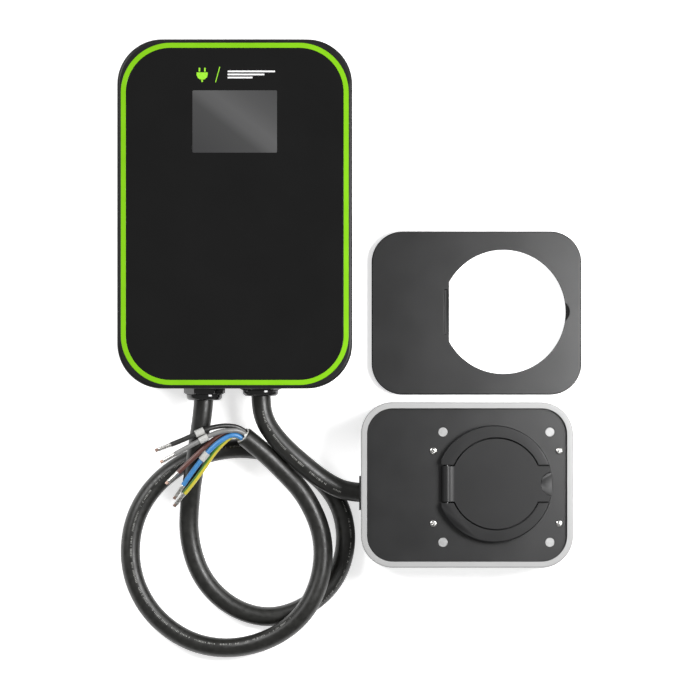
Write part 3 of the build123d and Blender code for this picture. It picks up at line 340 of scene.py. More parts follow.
def stroke_tree():
    """Strokes set across a line, in groups, some of them worn away."""
    tree, ports, node, link, given = new_tree("ink_strokes", "Line", (
        ("Pitch", "Float", 0.0013), ("Stroke", "Float", 0.00042), ("Height", "Float", 0.0018),
        ("Seed", "Int", 4), ("Finish", "Material", None)))
    as_curve, evenly = node("GeometryNodeMeshToCurve"), node("GeometryNodeResampleCurve")
    evenly.mode = "LENGTH"
    link(given, "Line", as_curve, "Mesh")
    link(as_curve, "Curve", evenly, "Curve")
    link(given, "Pitch", evenly, "Length")
    index, group, gap = node("GeometryNodeInputIndex"), node("ShaderNodeMath"), node("ShaderNodeMath")
    group.operation, gap.operation = "MODULO", "GREATER_THAN"
    group.inputs[1].default_value = group_pitch
    gap.inputs[1].default_value = group_strokes - 0.5
    link(index, "Index", group, 0)
    link(group, 0, gap, 0)
    chance, either = node("FunctionNodeRandomValue"), node("FunctionNodeBooleanMath")
    chance.data_type = "BOOLEAN"
    chance.inputs["Probability"].default_value = worn_share
    either.operation = "OR"
    link(given, "Seed", chance, "Seed")
    link(gap, 0, either, 0)
    link(chance, "Value", either, 1)
    tangent, outward = node("GeometryNodeInputTangent"), node("GeometryNodeInputNamedAttribute")
    outward.data_type = "FLOAT_VECTOR"
    outward.inputs["Name"].default_value = "outward"
    first, second = (node("FunctionNodeAlignRotationToVector") for _ in range(2))
    first.axis, second.axis = "X", "Z"
    second.pivot_axis = "X"
    link(tangent, "Tangent", first, "Vector")
    link(first, "Rotation", second, "Rotation")
    link(outward, "Attribute", second, "Vector")
    size, stroke = node("ShaderNodeCombineXYZ"), node("GeometryNodeMeshCube")
    size.inputs["Z"].default_value = stroke_depth
    link(given, "Stroke", size, "X")
    link(given, "Height", size, "Y")
    link(size, "Vector", stroke, "Size")
    tall = node("FunctionNodeRandomValue")
    tall.data_type = "FLOAT_VECTOR"
    tall.inputs["Min"].default_value = (0.7, 0.45, 1)
    tall.inputs["Max"].default_value = (1.9, 1.0, 1)
    link(given, "Seed", tall, "Seed")
    cut, place = node("GeometryNodeDeleteGeometry"), node("GeometryNodeInstanceOnPoints")
    points = node("GeometryNodeCurveToPoints")
    points.mode = "EVALUATED"
    store = node("GeometryNodeStoreNamedAttribute")
    store.data_type, store.domain = "QUATERNION", "POINT"
    store.inputs["Name"].default_value = "turn"
    link(evenly, "Curve", store, "Geometry")
    link(second, "Rotation", store, "Value")
    link(store, "Geometry", points, "Curve")
    link(points, "Points", cut, "Geometry")
    link(either, 0, cut, "Selection")
    turn = node("GeometryNodeInputNamedAttribute")
    turn.data_type = "QUATERNION"
    turn.inputs["Name"].default_value = "turn"
    link(cut, "Geometry", place, "Points")
    link(stroke, "Mesh", place, "Instance")
    link(turn, "Attribute", place, "Rotation")
    link(tall, "Value", place, "Scale")
    end_tree(tree, link, given, place, "Strokes")
    return tree, ports


def baked(piece):
    """The piece's modifiers turned into plain mesh."""
    mesh = bpy.data.meshes.new_from_object(piece.evaluated_get(bpy.context.evaluated_depsgraph_get()))
    bpy.data.objects.remove(piece)
    return mesh


def grown(name, mesh, tree, ports, settings):
    """A piece that a node tree grows on a mesh, baked, with each setting given by its port."""
    carrier = stand(name, mesh)
    modifier = carrier.modifiers.new("grown", "NODES")
    modifier.node_group = tree
    for title, value in settings.items():
        modifier[ports[title]] = value
    return add_piece(name, baked(carrier), None)


ink = worn_finish("white_ink", 0.0007, 3.0, (0.12, 0.12, 0.115), (0.36, 0.36, 0.34), (0.5, 0.75),
                  0.00003, 0.4)


def print_line(name, line, first_angle, last_angle, start, end, seed):
    """A printed line along part of a cable, which turns slowly from one angle to another."""
    frames = frames_along(line)
    keep = range(int(len(line) * start), int(len(line) * end))
    angles = [math.radians(first_angle + (last_angle - first_angle) * k / (len(keep) - 1))
              for k in range(len(keep))]
    outward = [frames[i][1] * math.cos(angle) + frames[i][2] * math.sin(angle)
               for i, angle in zip(keep, angles)]
    points = [line[i] + way * (cable_d / 2 + stroke_lift) for i, way in zip(keep, outward)]
    mesh = bpy.data.meshes.new(name)
    mesh.from_pydata(points, [(i, i + 1) for i in range(len(points) - 1)], [])
    field = mesh.attributes.new("outward", "FLOAT_VECTOR", "POINT")
    field.data.foreach_set("vector", [value for way in outward for value in way])
    printed = grown(name + "_ink", mesh, *stroke_tree(), {"Seed": seed, "Finish": ink})
    return printed


supply_print = print_line("supply_print", supply_line, 48, 122, 0.28, 0.80, 4)
output_print = print_line("output_print", output_line, 92, 74, 0.20, 0.86, 9)

# ---------------------------------------------------------------- cores of the supply cable
# Five copper cores in coloured insulation, 4.2 mm across, fanned out of the cut jacket. The
# protective one is yellow with a green stripe that winds slowly round it.
core_d = 0.0042
core_ring = 3.8
core_lead_out = 7.0
core_turn = -12.0


def insulation_finish(name, colour):
    """Smooth extruded insulation in one colour."""
    dark = tuple(value * 0.82 for value in colour)
    return extruded_finish(name, dark, colour, 0.33, 0.0006)


def striped_finish(name, first, second):
    """Insulation in two colours, half and half, with a slow twist."""
    material, nodes, links, shader = new_finish(name)
    uv = nodes.new("ShaderNodeUVMap")
    uv.uv_map = "along"
    parts = nodes.new("ShaderNodeSeparateXYZ")
    links.new(uv.outputs["UV"], parts.inputs["Vector"])
    twist, phase, turn, wave = (nodes.new("ShaderNodeMath") for _ in range(4))
    twist.operation, turn.operation, wave.operation = "MULTIPLY_ADD", "MULTIPLY", "SINE"
    twist.inputs[1].default_value = 1.5
    twist.inputs[2].default_value = 0.68
    turn.inputs[1].default_value = 2 * math.pi
    links.new(parts.outputs["Y"], twist.inputs[0])
    links.new(parts.outputs["X"], phase.inputs[0])
    links.new(twist.outputs[0], phase.inputs[1])
    links.new(phase.outputs[0], turn.inputs[0])
    links.new(turn.outputs[0], wave.inputs[0])
    side = spread(nodes, links, wave.outputs[0], 1, 0, -0.42, -0.34)
    links.new(two_tone(nodes, links, side, first, second), shader.inputs["Base Color"])
    grime = speckle(nodes, links, nodes.new("ShaderNodeTexCoord").outputs["Object"], 0.003, 4.0)
    links.new(spread(nodes, links, grime, 0.26, 0.42), shader.inputs["Roughness"])
    relief(nodes, links, shader, grime, 0.00005, 0.3)
    return material


core_routes = {
    "black": [(-6, -178.8, 42.5), (-16, -179.6, 45), (-25, -182.2, 46.8), (-35, -186.8, 47.4),
              (-45, -191.4, 47.5), (-54.1, -194.9, 47.3)],
    "grey": [(-6, -183, 46), (-14, -184.2, 46.5), (-22, -187.6, 46.3), (-31, -192.4, 45.6),
             (-41, -197.6, 44.8), (-50.7, -203, 44.2)],
    "blue": [(-6.5, -188, 43.5), (-15, -193.5, 43.5), (-22.5, -200.8, 42.6), (-29.5, -209, 41),
             (-37.5, -219.7, 38.8), (-44, -229.4, 36.5)],
    "earth": [(-7, -190.7, 38.8), (-14, -197.3, 38.5), (-20.5, -205.8, 37.5), (-27, -215.5, 36),
              (-34.5, -226, 33.5), (-43, -236.5, 30.5)],
    "brown": [(-6, -183.7, 38), (-15, -188.3, 39.5), (-25, -196.3, 40.5), (-35, -206, 40.3),
              (-41.8, -212.5, 39.5), (-48.2, -218.6, 38.8)],
}
core_finishes = {
    "black": insulation_finish("black_insulation", (0.022, 0.022, 0.021)),
    "grey": insulation_finish("grey_insulation", (0.20, 0.20, 0.197)),
    "blue": insulation_finish("blue_insulation", (0.045, 0.205, 0.47)),
    "earth": striped_finish("green_yellow_insulation", (0.52, 0.45, 0.040), (0.09, 0.27, 0.05)),
    "brown": insulation_finish("brown_insulation", (0.100, 0.038, 0.030)),
}
core_tip = Vector(supply_route[-1])
core_way = (core_tip - Vector(supply_route[-2])).normalized()
core_side = core_way.cross(Vector((0, 0, 1))).normalized()
core_rise = core_side.cross(core_way).normalized()
cores, core_ends = {}, {}
for order, (colour, route) in enumerate(core_routes.items()):
    angle = math.radians(core_turn + 360 / len(core_routes) * order)
    start = core_tip + (core_side * math.cos(angle) + core_rise * math.sin(angle)) * core_ring
    points = [tuple(start), tuple(start + core_way * core_lead_out)] + route
    line = spline_line(points, 8)
    core = swept_tube(f"core_{colour}", line, core_d / 2, 24, core_finishes[colour], 0.0002)
    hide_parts(f"wire_{colour}")
    cores[colour] = (core, line, start / 1000)
    end, before = Vector(route[-1]) / 1000, Vector(route[-2]) / 1000
    core_ends[colour] = (end, (end - before).normalized())

# ---------------------------------------------------------------- wrap at the cut end
# Pale tape lies round the five cores and keeps them from sticking to the jacket. It was torn off
# at the cut, so a ragged frill of it shows.
wrap_r = 0.0067
wrap_out = 0.0024
wrap_wall = 0.0003
wrap_tuck = 0.0005
tape = worn_finish("pale_tape", 0.0012, 5.0, (0.30, 0.30, 0.28), (0.66, 0.66, 0.63), (0.3, 0.5),
                   0.0002, 0.5)


def turned(name, origin, way, profile, sides, material, shape=None, smooth=40):
    """A closed ring of profile points (distance, radius) turned about an axis. A shape function may
    move the points as they go round."""
    way = Vector(way).normalized()
    side = way.cross(Vector((0, 0, 1))).normalized()
    rise = side.cross(way).normalized()
    work = bmesh.new()
    rings = []
    for distance, radius in profile:
        ring = []
        for k in range(sides):
            angle = 2 * math.pi * k / sides
            along, r = shape(angle, distance, radius) if shape else (distance, radius)
            ring.append(work.verts.new(Vector(origin) + way * along
                                       + (side * math.cos(angle) + rise * math.sin(angle)) * r))
        rings.append(ring)
    for ring, following in zip(rings, rings[1:] + rings[:1]):
        for k in range(sides):
            n = (k + 1) % sides
            work.faces.new((ring[k], ring[n], following[n], following[k]))
    return add_piece(name, outward_mesh(work, name), material, smooth=smooth)


def torn_lip(angle, distance, radius):
    """A ragged, rippled lip in front of the cut; the end under the jacket stays even."""
    if distance < 0:
        return distance, radius
    ragged = 0.55 + 0.25 * math.sin(5 * angle + 1) + 0.20 * math.sin(13 * angle + 2.4)
    return distance * ragged, radius + 0.0002 * math.sin(9 * angle)


wrap_profile = [(-wrap_tuck, wrap_r), (wrap_out, wrap_r), (wrap_out, wrap_r - wrap_wall),
                (-wrap_tuck, wrap_r - wrap_wall)]
frill = turned("supply_wrap", core_tip / 1000, core_way, wrap_profile, 72, tape, torn_lip)

# ---------------------------------------------------------------- crimped core ends
# Tinned copper sleeves, 3.8 mm across and 14.5 mm long with the bare strands at the tip. The
# crimping tool leaves a row of flat bands across each sleeve.
sleeve_length = 0.0116
strand_length = 0.0029
strand_pitch = 0.00058
tinned = worn_finish("tinned_sleeve", 0.0009, 4.0, (0.44, 0.43, 0.41), (0.78, 0.77, 0.75),
                     (0.20, 0.38), 0.00004, 0.4, metal=1.0)
copper = worn_finish("bare_copper", 0.0006, 4.0, (0.26, 0.17, 0.14), (0.50, 0.37, 0.31),
                     (0.28, 0.5), 0.00003, 0.4, metal=1.0)


def sleeve_profile():
    """Flared mouth, then six pressed bands, then a plain end, with the bore for the strands."""
    outer = [(0.0, 0.0018), (0.0004, 0.0019), (0.0016, 0.0019)]
    for band in range(6):
        start = 0.0019 + band * 0.0015
        outer += [(start, 0.00186), (start + 0.0002, 0.00158), (start + 0.0007, 0.00158),
                  (start + 0.0009, 0.00188)]
    outer += [(sleeve_length - 0.0003, 0.00186), (sleeve_length, 0.00172)]
    return outer + [(sleeve_length, 0.00142), (0.0, 0.00142)]


def strand_tree():
    """Bare strands set on rings of points about Z, all along the same axis."""
    tree, ports, node, link, given = new_tree("bare_strands", "Places", (
        ("Strand Radius", "Float", 0.00028), ("Length", "Float", sleeve_length + strand_length),
        ("Uneven", "Float", 0.02), ("Seed", "Int", 1), ("Axis", "Rotation", None),
        ("Finish", "Material", None)))
    strand, raise_up = node("GeometryNodeMeshCylinder"), node("GeometryNodeTransform")
    half = node("ShaderNodeMath")
    strand.inputs["Vertices"].default_value = 8
    half.operation = "MULTIPLY"
    half.inputs[1].default_value = 0.5
    link(given, "Strand Radius", strand, "Radius")
    link(given, "Length", strand, "Depth")
    link(given, "Length", half, 0)
    offset, least, shorten, stretch = (node("ShaderNodeCombineXYZ"), node("ShaderNodeMath"),
                                       node("FunctionNodeRandomValue"), node("ShaderNodeCombineXYZ"))
    link(half, 0, offset, "Z")
    link(strand, "Mesh", raise_up, "Geometry")
    link(offset, "Vector", raise_up, "Translation")
    least.operation = "SUBTRACT"
    least.inputs[0].default_value = 1.0
    link(given, "Uneven", least, 1)
    shorten.inputs["Max"].default_value = 1.0
    link(least, 0, shorten, "Min")
    link(given, "Seed", shorten, "Seed")
    stretch.inputs["X"].default_value = stretch.inputs["Y"].default_value = 1.0
    link(shorten, "Value", stretch, "Z")
    place = node("GeometryNodeInstanceOnPoints")
    link(given, "Places", place, "Points")
    link(raise_up, "Geometry", place, "Instance")
    link(given, "Axis", place, "Rotation")
    link(stretch, "Vector", place, "Scale")
    end_tree(tree, link, given, place, "Strands")
    return tree, ports


def strand_bundle(name, origin, way, seed):
    """Nineteen bare strands in rings, each a little longer or shorter than the next."""
    side = way.cross(Vector((0, 0, 1))).normalized()
    rise = side.cross(way).normalized()
    angles = [(ring, 2 * math.pi * number / count)
              for ring, count in ((0, 1), (1, 6), (2, 12)) for number in range(count)]
    mesh = bpy.data.meshes.new(name)
    mesh.from_pydata([origin + (side * math.cos(a) + rise * math.sin(a)) * ring * strand_pitch
                      for ring, a in angles], [], [])
    return grown(name, mesh, *strand_tree(), {
        "Seed": seed, "Axis": way.to_track_quat("Z", "Y").to_euler(), "Finish": copper})


sleeves = {}
for seed, (colour, (end, way)) in enumerate(core_ends.items()):
    sleeve = turned(f"sleeve_{colour}", end, way, sleeve_profile(), 24, tinned, smooth=30)
    strands = strand_bundle(f"strands_{colour}", end, way, seed)
    for piece in (sleeve, strands):
        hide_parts("wire_ferrules")
    sleeves[colour] = [sleeve, strands]

# ---------------------------------------------------------------- marker sleeves
# Short push-on sleeves of light grey plastic on three of the cores, 6 mm across and 8 mm long.
# The numbers that real ones carry are left off.
marker_length = 0.008
marker_plastic = worn_finish("marker_plastic", 0.0012, 4.0, (0.36, 0.36, 0.35), (0.52, 0.52, 0.50),
                             (0.34, 0.5), 0.00004, 0.3)
marker_profile = [(0.0, 0.00285), (0.00015, 0.003), (marker_length - 0.00015, 0.003),
                  (marker_length, 0.00285), (marker_length, 0.00245), (0.0, 0.00245)]
for colour in ("black", "grey", "blue"):
    before, after = (Vector(point) / 1000 for point in core_routes[colour][2:4])
    way = (after - before).normalized()
    foot = (before + after) / 2 - way * marker_length / 2
    marker = turned(f"marker_{colour}", foot, way, marker_profile, 40, marker_plastic)
    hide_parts("wire_markers")
    sleeves[colour].append(marker)

# ---------------------------------------------------------------- wall bracket
# Folded zinc-plated sheet that screws to the wall. The box hangs on it and one screw from below
# locks it.


def moulded_finish(name, dark, light, gloss, grain=0.0006, depth=0.00003, edge=None, coat=0.0,
                   metal=0.0, mottle=0.02, shine=0.5):
    """A moulded, pressed or cast surface with a fine grain, faint mottling and, if an edge colour is
    given, edges painted lighter: partly rubbed wear, partly a painted highlight along them.
    """
    material, nodes, links, shader = new_finish(name)
    for title, value in (("Coat Weight", coat), ("Coat Roughness", 0.06), ("Metallic", metal),
                         ("Specular IOR Level", shine)):
        shader.inputs[title].default_value = value
    place = nodes.new("ShaderNodeTexCoord").outputs["Object"]
    cloud = speckle(nodes, links, place, mottle, 5.0)
    fine = speckle(nodes, links, place, grain, 2.0)
    colour = two_tone(nodes, links, spread(nodes, links, cloud, 0, 1), dark, light)
    rounded = nodes.new("ShaderNodeBevel")
    rounded.samples = 4
    rounded.inputs["Radius"].default_value = 0.0004
    # Edges are painted lighter where the rounded normal turns away: partly rubbed wear, partly a
    # painted highlight.
    if edge is not None:
        flat, turned_by, edge_wear_and_highlight = (nodes.new(kind) for kind in
                                   ("ShaderNodeNewGeometry", "ShaderNodeVectorMath", "ShaderNodeMix"))
        turned_by.operation = "DOT_PRODUCT"
        links.new(flat.outputs["Normal"], turned_by.inputs[0])
        links.new(rounded.outputs["Normal"], turned_by.inputs[1])
        edge_wear_and_highlight.data_type = "RGBA"
        edge_wear_and_highlight.inputs["B"].default_value = (*edge, 1)
        links.new(spread(nodes, links, turned_by.outputs["Value"], 0.6, 0.0, 0.80, 0.99),
                  edge_wear_and_highlight.inputs["Factor"])
        links.new(colour, edge_wear_and_highlight.inputs["A"])
        colour = edge_wear_and_highlight.outputs["Result"]
    links.new(colour, shader.inputs["Base Color"])
    links.new(spread(nodes, links, cloud, gloss - 0.012, gloss + 0.018), shader.inputs["Roughness"])
    relief(nodes, links, shader, fine, depth, 0.4, rounded.outputs["Normal"])
    return material


def dress(material, *names):
    """Gives CAD nodes a finish through their own material slots."""
    for name in names:
        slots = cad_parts[name].material_slots
        if not slots:
            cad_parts[name].data.materials.append(material)
        for one in slots:
            one.material = material


zinc = moulded_finish("zinc_plate", (0.50, 0.51, 0.52), (0.70, 0.70, 0.70), 0.34, 0.002, 0.00002,
                      metal=1.0, mottle=0.006)
dress(zinc, "wall_bracket", "bracket_lock_screw")

# ---------------------------------------------------------------- rear housing
# Injection-moulded black shell with posts for the boards, a rubber cord seal round its rim and
# four long screws from behind.
shell_black = moulded_finish("shell_black", (0.006, 0.006, 0.006), (0.009, 0.009, 0.009), 0.36,
                             0.0005, 0.00003, edge=(0.03, 0.03, 0.03), shine=0.22)
seal_rubber = moulded_finish("seal_rubber", (0.012, 0.012, 0.012), (0.024, 0.024, 0.024), 0.7,
                             0.0004, 0.00005)
dress(shell_black, "rear_housing")
dress(seal_rubber, "main_gasket")
dress(zinc, "housing_screws", "board_screws")

# ---------------------------------------------------------------- control electronics
# Laminate boards under green lacquer with relays, a converter, a current sensor and screw
# terminals. A flat ribbon joins the control board to the display board.
lacquer = moulded_finish("green_lacquer", (0.010, 0.10, 0.035), (0.018, 0.16, 0.06), 0.28, 0.0012,
                         0.00003, coat=0.3, mottle=0.004)
relay_case = moulded_finish("relay_case", (0.02, 0.06, 0.22), (0.03, 0.09, 0.30), 0.35)
module_case = moulded_finish("module_case", (0.55, 0.55, 0.53), (0.70, 0.70, 0.68), 0.45)
terminal_case = moulded_finish("terminal_case", (0.03, 0.22, 0.09), (0.05, 0.30, 0.12), 0.42)
ribbon_grey = moulded_finish("ribbon_grey", (0.25, 0.25, 0.25), (0.34, 0.34, 0.34), 0.5)
inner_cores = moulded_finish("inner_cores", (0.05, 0.04, 0.04), (0.12, 0.09, 0.08), 0.4)
dress(lacquer, "control_board", "display_board", "rfid_antenna")
dress(relay_case, "power_relays")
dress(module_case, "power_supply", "leakage_sensor")
dress(terminal_case, "input_terminals", "output_terminals")
dress(ribbon_grey, "ribbon_cable")
dress(inner_cores, "input_cores", "output_cores", "socket_cores")

# ---------------------------------------------------------------- front housing
# The black front shell. A shallow recess in its face takes the coloured line and the front
# sheet, and its outer edge is rounded all the way round.
dress(shell_black, "front_housing")

# ---------------------------------------------------------------- green line
# A bright green moulded frame pressed into the recess, flush with the face, between the black
# edge and the front sheet.
bright_green = moulded_finish("bright_green", (0.150, 0.385, 0.003), (0.165, 0.42, 0.004), 0.25,
                              0.0007, 0.00001, shine=0.3)
dress(bright_green, "green_trim")

# ---------------------------------------------------------------- front sheet and its mark
# Polished black acrylic sheet. Above the display it carries a small printed sign: a plain plug
# shape, a slanted line and three bars of falling length.
panel_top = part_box("front_panel")[1][2]
sign_y = 117.7
ink_height = 0.00004
polished = moulded_finish("polished_black", (0.0030, 0.0030, 0.0030), (0.0040, 0.0040, 0.0040), 0.10,
                          0.003, 0.000003, mottle=0.05, shine=0.36)
dress(polished, "front_panel")
green_ink = moulded_finish("green_ink", (0.20, 0.50, 0.01), (0.25, 0.60, 0.012), 0.4, mottle=0.002)
pale_ink = moulded_finish("pale_ink", (0.62, 0.62, 0.62), (0.78, 0.78, 0.78), 0.4, mottle=0.002)


def printed_shapes(name, outlines, material):
    """Flat printed shapes on the front sheet, in millimetres from the sign's middle height."""
    work = bmesh.new()
    for outline in outlines:
        low, high = ([work.verts.new((x / 1000, (sign_y + y) / 1000, level)) for x, y in outline]
                     for level in (panel_top, panel_top + ink_height))
        work.faces.new(low)
        work.faces.new(high)
        for k in range(len(outline)):
            work.faces.new((low[k - 1], low[k], high[k], high[k - 1]))
    piece = add_piece(name, outward_mesh(work, name), material, smooth=20)
    return piece


def arc_points(centre, radius, start, end, count=14):
    """Points along an arc, angles in degrees."""
    return [(centre[0] + radius * math.cos(math.radians(start + (end - start) * k / count)),
             centre[1] + radius * math.sin(math.radians(start + (end - start) * k / count)))
            for k in range(count + 1)]


def bar(low, high):
    """A rectangle from its corners."""
    return [low, (high[0], low[1]), high, (low[0], high[1])]


sign_plug = [bar((-30.5, 2.4), (-29.1, 5.6)), bar((-25.9, 2.4), (-24.5, 5.6)),
             [(-32.2, 1.8), (-32.2, 0.2)] + arc_points((-27.5, 0.2), 4.7, 180, 360)
             + [(-22.8, 1.8)],
             bar((-28.2, -6.4), (-26.8, -4.3))]
sign_slash = [[(-16.6, -6.6), (-15.8, -6.6), (-12.2, 6.6), (-13.0, 6.6)]]
sign_bars = [bar((-6, 1.9), (34, 3.3)), bar((-6, -0.7), (25, 0.7)), bar((-6, -3.3), (15, -1.9))]
printed_shapes("sign_plug", sign_plug + sign_slash, green_ink)
printed_shapes("sign_bars", sign_bars, pale_ink)

# ---------------------------------------------------------------- display
# A display panel behind a smoked window that sits flush in the front sheet. Switched off it is
# an even grey, with a paler diagonal band painted into its colour as a painted reflection.
lcd_glass = moulded_finish("lcd_panel", (0.05, 0.055, 0.06), (0.06, 0.065, 0.07), 0.2)
dress(lcd_glass, "lcd_module")
reflection_band_turn = 52
reflection_band_reach = 0.040
window_low, window_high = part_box("display_window")
window_middle = [(a + b) / 2 for a, b in zip(window_low, window_high)]
smoked, nodes, links, shader = new_finish("smoked_window")
shader.inputs["Specular IOR Level"].default_value = 0.3
place = nodes.new("ShaderNodeTexCoord").outputs["Object"]
centred = nodes.new("ShaderNodeMapping")
centred.vector_type = "TEXTURE"
centred.inputs["Location"].default_value = window_middle
centred.inputs["Rotation"].default_value = (0, 0, math.radians(reflection_band_turn))
links.new(place, centred.inputs["Vector"])
parts = nodes.new("ShaderNodeSeparateXYZ")
links.new(centred.outputs["Vector"], parts.inputs["Vector"])
# The ramp paints a paler diagonal band into the window's colour: a painted reflection.
band = nodes.new("ShaderNodeValToRGB")
band.color_ramp.elements[0].position = 0.0
band.color_ramp.elements[0].color = (0.034, 0.034, 0.035, 1)
band.color_ramp.elements[1].position = 1.0
band.color_ramp.elements[1].color = (0.046, 0.046, 0.047, 1)
for position, value in ((0.40, 0.044), (0.50, 0.066), (0.60, 0.072), (0.78, 0.056)):
    step = band.color_ramp.elements.new(position)
    step.color = (value, value, value * 1.01, 1)
links.new(spread(nodes, links, parts.outputs["X"], 0, 1, -reflection_band_reach, reflection_band_reach),
          band.inputs["Fac"])
links.new(band.outputs["Color"], shader.inputs["Base Color"])
film = speckle(nodes, links, place, 0.008, 3.0)
links.new(spread(nodes, links, film, 0.10, 0.16), shader.inputs["Roughness"])
relief(nodes, links, shader, film, 0.000004, 0.2)
dress(smoked, "display_window")

# ---------------------------------------------------------------- cable glands
# Black polyamide glands: a threaded stem through the wall with a hexagon outside it, a domed cap
# that squeezes a rubber seal onto the cable, and a locknut inside.
gland_level = 0.036
wall_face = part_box("rear_housing")[0][1]
gland_black = moulded_finish("gland_black", (0.004, 0.004, 0.004), (0.007, 0.007, 0.007), 0.14,
                             0.0008, 0.00001, edge=(0.03, 0.03, 0.03), coat=0.2)
hex_flats = 0.0303
stem_r = 0.0124
bore_r = 0.009
dome_r = 0.0153
dome_round = 0.0035


def hex_shape(length):
    """A hexagon with turned-down ends; stem and bore stay round."""
    def shape(angle, distance, radius):
        if radius < 0.0140 or distance < -0.0001:
            return distance, radius
        half = (angle % (math.pi / 3)) - math.pi / 6
        turned_down = radius + 0.0006 + 0.0014 * min(1.0, min(distance, length - distance) / 0.0012)
        return distance, min(hex_flats / 2 / math.cos(half), turned_down)
    return shape


for side_name, gland_x, hex_length in (("supply", -0.026, 0.009), ("output", 0.0215, 0.0054)):
    body_profile = [(-0.012, bore_r), (-0.012, stem_r - 0.0005), (-0.0115, stem_r), (0.0, stem_r),
                    (0.0, 0.0149), (0.0004, 0.0151), (0.0012, 0.0155), (hex_length / 2, 0.0155),
                    (hex_length - 0.0012, 0.0155), (hex_length - 0.0004, 0.0151),
                    (hex_length, 0.0149), (hex_length, bore_r)]
    gland_body = turned(f"{side_name}_gland_hexagon", (gland_x, wall_face, gland_level), (0, -1, 0),
                        body_profile, 120, gland_black, hex_shape(hex_length), smooth=28)
    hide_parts(f"{side_name}_gland_body")
    cap_profile = [(0.0, bore_r), (0.0, dome_r - 0.0004), (0.0003, dome_r)]
    cap_profile += [(0.0016 + dome_round * math.sin(math.radians(a)),
                     dome_r - dome_round * (1 - math.cos(math.radians(a)))) for a in range(0, 91, 10)]
    cap_profile += [(0.0051, bore_r + 0.0006), (0.0047, bore_r)]
    cap = turned(f"{side_name}_gland_cap", (gland_x, wall_face - hex_length, gland_level), (0, -1, 0),
                 cap_profile, 96, gland_black, smooth=28)
    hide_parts(f"{side_name}_gland_nut")
dress(gland_black, "gland_locknuts")
dress(seal_rubber, "gland_seals", "plate_gasket", "cable_inlet_seal")

# ---------------------------------------------------------------- socket unit housing
# Light grey moulded tray. Its rim stands round a satin black plate that lies on a rubber gasket
# and is held by four screws.
weld_reach = 0.000002
flat_angle = math.radians(0.4)
sharp_angle = math.radians(50)


def softened(node, width, material, body="root"):
    """A piece with a CAD node's own shape and its sharp edges eased as a mould leaves them."""
    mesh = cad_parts[node].data.copy()
    work = bmesh.new()
    work.from_mesh(mesh)
    bmesh.ops.remove_doubles(work, verts=work.verts, dist=weld_reach)
    bmesh.ops.dissolve_limit(work, angle_limit=flat_angle, verts=work.verts, edges=work.edges)
    work.to_mesh(mesh)
    work.free()
    rough = stand(node + "_rough", mesh)
    ease = rough.modifiers.new("eased_edges", "BEVEL")
    ease.width = width
    ease.segments = 1
    ease.limit_method = "ANGLE"
    ease.angle_limit = sharp_angle
    ease.use_clamp_overlap = True
    piece = add_piece(node + "_piece", baked(rough), material, body, 30)
    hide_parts(node)
    return piece


pale_shell = moulded_finish("pale_shell", (0.305, 0.305, 0.304), (0.317, 0.317, 0.316), 0.36, 0.0006,
                            0.00002, edge=(0.42, 0.42, 0.42), shine=0.3)
tray = softened("socket_housing", 0.0003, pale_shell)
satin = moulded_finish("satin_black", (0.0032, 0.0032, 0.0035), (0.0048, 0.0048, 0.0052), 0.31,
                       0.0005, 0.00002, edge=(0.03, 0.03, 0.03), mottle=0.03, shine=0.56)
plate = softened("socket_plate", 0.0002, satin)

# ---------------------------------------------------------------- plate screws and magnets
# Four cross-head screws with rounded nickel-plated heads hold the plate. Four magnets pressed
# into the plate hold the cover by its steel discs.
bright_nickel = moulded_finish("bright_nickel", (0.44, 0.435, 0.42), (0.60, 0.595, 0.58), 0.24,
                               0.0009, 0.00002, metal=1.0, mottle=0.002)
dull_nickel = moulded_finish("dull_nickel", (0.25, 0.25, 0.25), (0.32, 0.32, 0.32), 0.42, 0.0007,
                             0.00003, metal=0.55, mottle=0.003)
screw_low, screw_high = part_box("plate_screws")
plate_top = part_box("socket_plate")[1][2]
head_r = 0.00315
head_rim = 0.0005
recess_half = 0.0017
recess_arm = 0.00042
recess_depth = 0.0011
head_height = screw_high[2] - plate_top
shank_r = 0.0013


def screw_mesh(name, sectors=72, steps=26):
    """A screw that stands on its head's underside: rounded head, cross recess and plain shank."""
    work = bmesh.new()
    rings = [[work.verts.new((0, 0, screw_low[2] - plate_top))]]
    outline = [(shank_r, screw_low[2] - plate_top), (shank_r, 0.0), (head_r - 0.0002, 0.0)]
    outline += [(head_r * (1 - k / steps), None) for k in range(steps)]
    for r, level in outline + [(0.0, None)]:
        ring = []
        for k in range(sectors if r > 0 else 1):
            x, y = r * math.cos(2 * math.pi * k / sectors), r * math.sin(2 * math.pi * k / sectors)
            z = level
            if z is None:
                dome = math.sqrt(max(0.0, 1 - (r / head_r) ** 2.6))
                z = head_rim + (head_height - head_rim) * dome
                if max(abs(x), abs(y)) < recess_half and min(abs(x), abs(y)) < recess_arm:
                    z -= recess_depth
            ring.append(work.verts.new((x, y, z)))
        rings.append(ring)
    for lower, upper in zip(rings, rings[1:]):
        for k in range(sectors):
            n = (k + 1) % sectors
            corners = (lower[k % len(lower)], lower[n % len(lower)],
                       upper[n % len(upper)], upper[k % len(upper)])
            work.faces.new(list(dict.fromkeys(corners)))
    return outward_mesh(work, name)


def scatter_tree():
    """Sets a copy of one object on every point, each turned by its own angle."""
    tree, ports, node, link, given = new_tree("screw_pattern", "Points", (
        ("Piece", "Object", None), ("Seed", "Int", None), ("Finish", "Material", None)))
    piece, turn = node("GeometryNodeObjectInfo"), node("FunctionNodeRandomValue")
    place = node("GeometryNodeInstanceOnPoints")
    turn.data_type = "FLOAT_VECTOR"
    turn.inputs["Min"].default_value = (0, 0, 0)
    turn.inputs["Max"].default_value = (0, 0, math.pi / 2)
    link(given, "Piece", piece, "Object")
    link(given, "Seed", turn, "Seed")
    link(given, "Points", place, "Points")
    link(piece, "Geometry", place, "Instance")
    link(turn, "Value", place, "Rotation")
    end_tree(tree, link, given, place, "Pieces")
    return tree, ports


